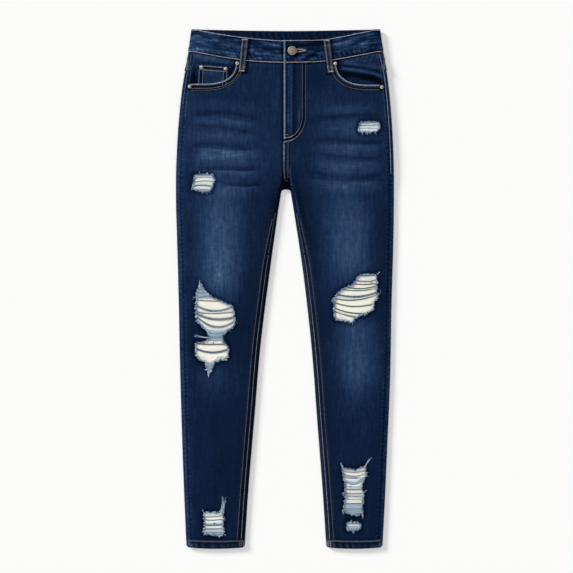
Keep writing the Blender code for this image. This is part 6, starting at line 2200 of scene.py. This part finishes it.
def build_stitches():
    """All the topstitching, in three pieces."""
    sewing = Sewing()
    for side in (RIGHT, LEFT):
        sew_edges(sewing, side)
        sew_leg_seams(sewing, side)
        sew_hem(sewing, side)
        sew_back(sewing, side)
    for inset in (-1.8, -7.8):
        row = np.array([(CENTRE_X + inset, 200.0), (CENTRE_X + inset, 384.0)])
        sewing.sew(sewing.back, row, GOLD, below=True, seed=24)
    sew_fly(sewing)
    sew_coin_pocket(sewing)
    sewing.tack((-1.4, 211.0), (5.4, 211.0), (70, 66, 50), 2.2)
    sew_loops(sewing)
    sew_buttonhole(sewing)
    sewing.front.piece("topstitching_front", "thread")
    sewing.seams.piece("topstitching_seams", "thread")
    sewing.back.piece("topstitching_back", "thread")


# ------------------------------------------------------------------ metal trim

# Lathe profiles from the rim's foot to the middle: radius, height and brightness
BUTTON_RINGS = (
    (4.0, 0.0, 0.25), (7.6, 0.2, 0.25), (8.6, 0.7, 0.33), (9.0, 1.3, 0.49), (8.9, 2.0, 0.6), (8.4, 2.6, 0.66),
    (7.7, 2.85, 0.55), (7.1, 2.6, 0.28), (6.7, 2.3, 0.17), (6.2, 2.3, 0.24), (5.7, 2.55, 0.48),
    (5.0, 2.45, 0.34), (3.8, 2.55, 0.37), (3.0, 2.8, 0.5), (2.5, 2.6, 0.26), (1.8, 2.6, 0.22),
    (1.2, 2.9, 0.46), (0.5, 3.0, 0.40))
RIVET_RINGS = (
    (4.25, 0.0, 0.0), (4.2, 0.4, 0.0), (3.8, 0.7, 0.0), (3.3, 0.95, 0.1), (2.8, 1.15, 0.75), (2.2, 1.05, 0.6),
    (1.8, 0.75, 0.0), (1.4, 0.8, 0.0), (1.1, 1.4, 0.5), (0.7, 1.8, 0.95), (0.3, 1.85, 1.0))
SLIDER_OUTLINE = ((-4.0, -3.4), (-3.0, -5.0), (3.0, -5.0), (4.0, -3.4), (3.4, 2.0), (1.6, 5.0), (-1.6, 5.0),
                  (-3.4, 2.0))
SLIDER_RINGS = ((-0.62, 0.9), (-0.3, 1.0), (0.3, 1.0), (0.62, 0.86))     # height and scale


def ring_faces(rings, steps):
    """Walls between rings of points, and a cap on the last and the first."""
    faces = []
    for ring in range(rings - 1):
        for k in range(steps):
            a, b = ring * steps + k, ring * steps + (k + 1) % steps
            faces.append((a, b, b + steps, a + steps))
    last = (rings - 1) * steps
    return faces + [tuple(range(last, last + steps)), tuple(reversed(range(steps)))]


def turned_piece(name, rings, place, kind, nodes, steps=48, waver=0.0, lean=0.0):
    """A lathe form about Z, closed at its middle and underneath, with painted light: brighter on the side
    towards the window lamp.
    """
    angle = 2 * np.pi * np.arange(steps) / steps
    points, tones = [], []
    for radius, height, tone in rings:
        beat = waver * np.cos(angle * 16) if 5.4 < radius < 7.0 else 0.0
        points.append(np.stack([place[0] + radius * np.cos(angle), place[1] + radius * np.sin(angle),
                                np.full(steps, place[2] + height) + beat], axis=1))
        # Painted light: the lean makes the side towards the window lamp brighter and the far side darker.
        tones.append(tone * (1.0 + lean * np.cos(angle - 2.7)))
    return mesh_piece(name, np.concatenate(points), ring_faces(len(rings), steps),
                      {"tone": np.concatenate(tones)}, kind, nodes)


def build_metal():
    """The button, the rivets and the zip's slider, each where its solid is."""
    low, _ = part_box("waist_button")
    turned_piece("button_cap", BUTTON_RINGS, (BUTTON_X, BUTTON_Y, low[2] / MM), "brass", ("waist_button",),
                 steps=64, waver=0.12, lean=0.25)
    for rivet in RIVETS:
        low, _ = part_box(rivet.name)
        turned_piece(rivet.name + "_cap", RIVET_RINGS, (rivet.x, rivet.y, low[2] / MM), "copper",
                     (rivet.name,), steps=32, lean=0.45)
    low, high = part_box("zip_slider")
    middle = (Vector(low) + Vector(high)) / 2 / MM
    points = [(middle.x + x * grow, middle.y + y * grow, middle.z + z)
              for z, grow in SLIDER_RINGS for x, y in SLIDER_OUTLINE]
    mesh_piece("zip_slider_body", np.array(points), ring_faces(len(SLIDER_RINGS), len(SLIDER_OUTLINE)),
               {"tone": np.full(len(points), 0.5)}, "brass", ("zip_slider",))


# ------------------------------------------------------------------ put it together

for side in (RIGHT, LEFT):
    build_front(side)
    build_back(side)
    build_yoke(side)
    build_facing(side)
    build_back_pocket(side)
    build_waistband(side)
build_coin_pocket()
for loop in FRONT_LOOPS:
    build_front_loop(loop)
for loop in SIDE_LOOPS:
    build_side_loop(loop)
build_back_loop()
build_fly_shield()
for backing in BACKINGS:
    build_backing(backing)
build_stitches()
build_zip()
for rip in RIPS:
    build_weft(rip)
build_metal()

# ------------------------------------------------------------------ the cut of each sheet

# Size of the cut that shows, laid flat, and its area where it isn't a rectangle, in metres
Cut = namedtuple("Cut", "piece width length area rests_on with_pieces")
CUTS = table(Cut, (
    ("front_right", 0.209, 0.958, 0.131, "back_right facing_right backing_knee_right shield",
     "weft_thigh_right weft_knee_right weft_ankle_right"),
    ("front_left", 0.208, 0.958, 0.129, "back_left facing_left backing_knee_left",
     "weft_thigh_left weft_knee_left weft_ankle_left weft_ankle_left_small"),
    ("back_right", 0.246, 0.938, 0.171, "pocket_right", ""),
    ("back_left", 0.243, 0.938, 0.168, "pocket_left", ""),
    ("yoke_right", 0.210, 0.080, 0.011, "back_right", ""),
    ("yoke_left", 0.209, 0.080, 0.011, "back_left", ""),
    ("facing_right", 0.112, 0.082, 0.0068, "back_right", ""),
    ("facing_left", 0.111, 0.082, 0.0067, "back_left", ""),
    ("pocket_right", 0.128, 0.142, 0.0160, "floor", ""),
    ("pocket_left", 0.128, 0.142, 0.0160, "floor", ""),
    ("band_right", 0.043, 0.459, 0.0183, "yoke_right", ""),
    ("band_left", 0.043, 0.420, 0.0168, "yoke_left", ""),
    ("coin", 0.059, 0.047, 0.0026, "facing_right", ""),
    ("belt_loop_front_right", 0.0125, 0.072, None, "band_right", ""),
    ("belt_loop_front_left", 0.0125, 0.073, None, "band_left", ""),
    ("belt_loop_side_right", 0.0125, 0.092, None, "band_right", ""),
    ("belt_loop_side_left", 0.0125, 0.091, None, "band_left", ""),
    ("belt_loop_back", 0.0125, 0.0725, None, "band_right", ""),
    ("shield", 0.046, 0.149, None, "back_left", ""),
    ("zip_tape", 0.032, 0.130, None, "shield", "zip_teeth"),
    ("backing_thigh_right", 0.070, 0.060, None, "back_right", ""),
    ("backing_knee_right", 0.105, 0.216, None, "back_right", ""),
    ("backing_ankle_right", 0.071, 0.092, None, "back_right", ""),
    ("backing_thigh_left", 0.066, 0.049, None, "back_left", ""),
    ("backing_knee_left", 0.109, 0.123, None, "back_left", ""),
    ("backing_ankle_left", 0.077, 0.167, None, "back_left", ""),
))


# ------------------------------------------------------------------ floor, light and camera


FLOOR_SIZE, FLOOR_Z = 14.0, -0.00005        # metres
FLOOR_COLOUR = (0.975, 0.975, 0.963, 1.0)
SKY_COLOUR = (0.97, 0.985, 1.0, 1.0)


def build_floor():
    """A plain white ground, just under the cloth."""
    bpy.ops.mesh.primitive_plane_add(size=FLOOR_SIZE, location=(0.0, 0.0, FLOOR_Z))
    floor = bpy.context.object
    floor.name = "floor"
    g = Graph("white_floor", 0.95)
    g.shader.inputs["Base Color"].default_value = FLOOR_COLOUR
    g.shader.inputs["Specular IOR Level"].default_value = 0.1
    floor.data.materials.append(g.material)


SKY = 0.16
LAMPS = (       # name, energy, spread in degrees, direction
    ("overhead", 1.57, 60.0, (0.0, 0.0, -1.0)),
    ("window", 3.46, 15.0, (0.763, -0.572, -0.308)),
)


def build_light():
    """A white studio: the cloth sees a dim sky, one broad lamp overhead and a window low on the left."""
    world = bpy.data.worlds.new("studio")
    bpy.context.scene.world = world
    world.use_nodes = True
    tree = world.node_tree
    background = tree.nodes["Background"]
    background.inputs["Color"].default_value = SKY_COLOUR
    path = tree.nodes.new("ShaderNodeLightPath")
    seen = path.outputs["Is Camera Ray"]
    for ray in ("Is Glossy Ray", "Is Transmission Ray"):
        either = tree.nodes.new("ShaderNodeMath")
        either.operation = "MAXIMUM"
        tree.links.new(seen, either.inputs[0])
        tree.links.new(path.outputs[ray], either.inputs[1])
        seen = either.outputs[0]
    strength = tree.nodes.new("ShaderNodeMapRange")
    strength.inputs["To Min"].default_value = SKY
    strength.inputs["To Max"].default_value = 1.0
    tree.links.new(seen, strength.inputs["Value"])
    tree.links.new(strength.outputs["Result"], background.inputs["Strength"])
    for name, energy, spread, direction in LAMPS:
        sun = bpy.data.lights.new(name, "SUN")
        sun.energy = energy
        sun.angle = math.radians(spread)
        lamp = bpy.data.objects.new(name, sun)
        bpy.context.scene.collection.objects.link(lamp)
        lamp.rotation_mode = "QUATERNION"
        lamp.rotation_quaternion = Vector(direction).to_track_quat("-Z", "Y")


VIEW_WIDTH = 1.11735        # of the cloth's surface, across the picture, in metres
VIEW_X, VIEW_Y, VIEW_Z = 0.00267, 0.00478, 0.007
LENS, SENSOR = 100.0, 36.0


def build_camera():
    """Straight above the middle of the picture, with a long lens."""
    data = bpy.data.cameras.new("camera")
    data.lens = LENS
    data.sensor_width = SENSOR
    distance = VIEW_WIDTH * LENS / SENSOR
    camera = bpy.data.objects.new("camera", data)
    camera.location = (VIEW_X, VIEW_Y, VIEW_Z + distance)
    data.clip_start, data.clip_end = 0.1, 50.0
    bpy.context.scene.collection.objects.link(camera)
    bpy.context.scene.camera = camera


build_floor()
build_light()
build_camera()
bpy.context.scene.view_settings.view_transform = "Standard"
bpy.context.view_layer.update()
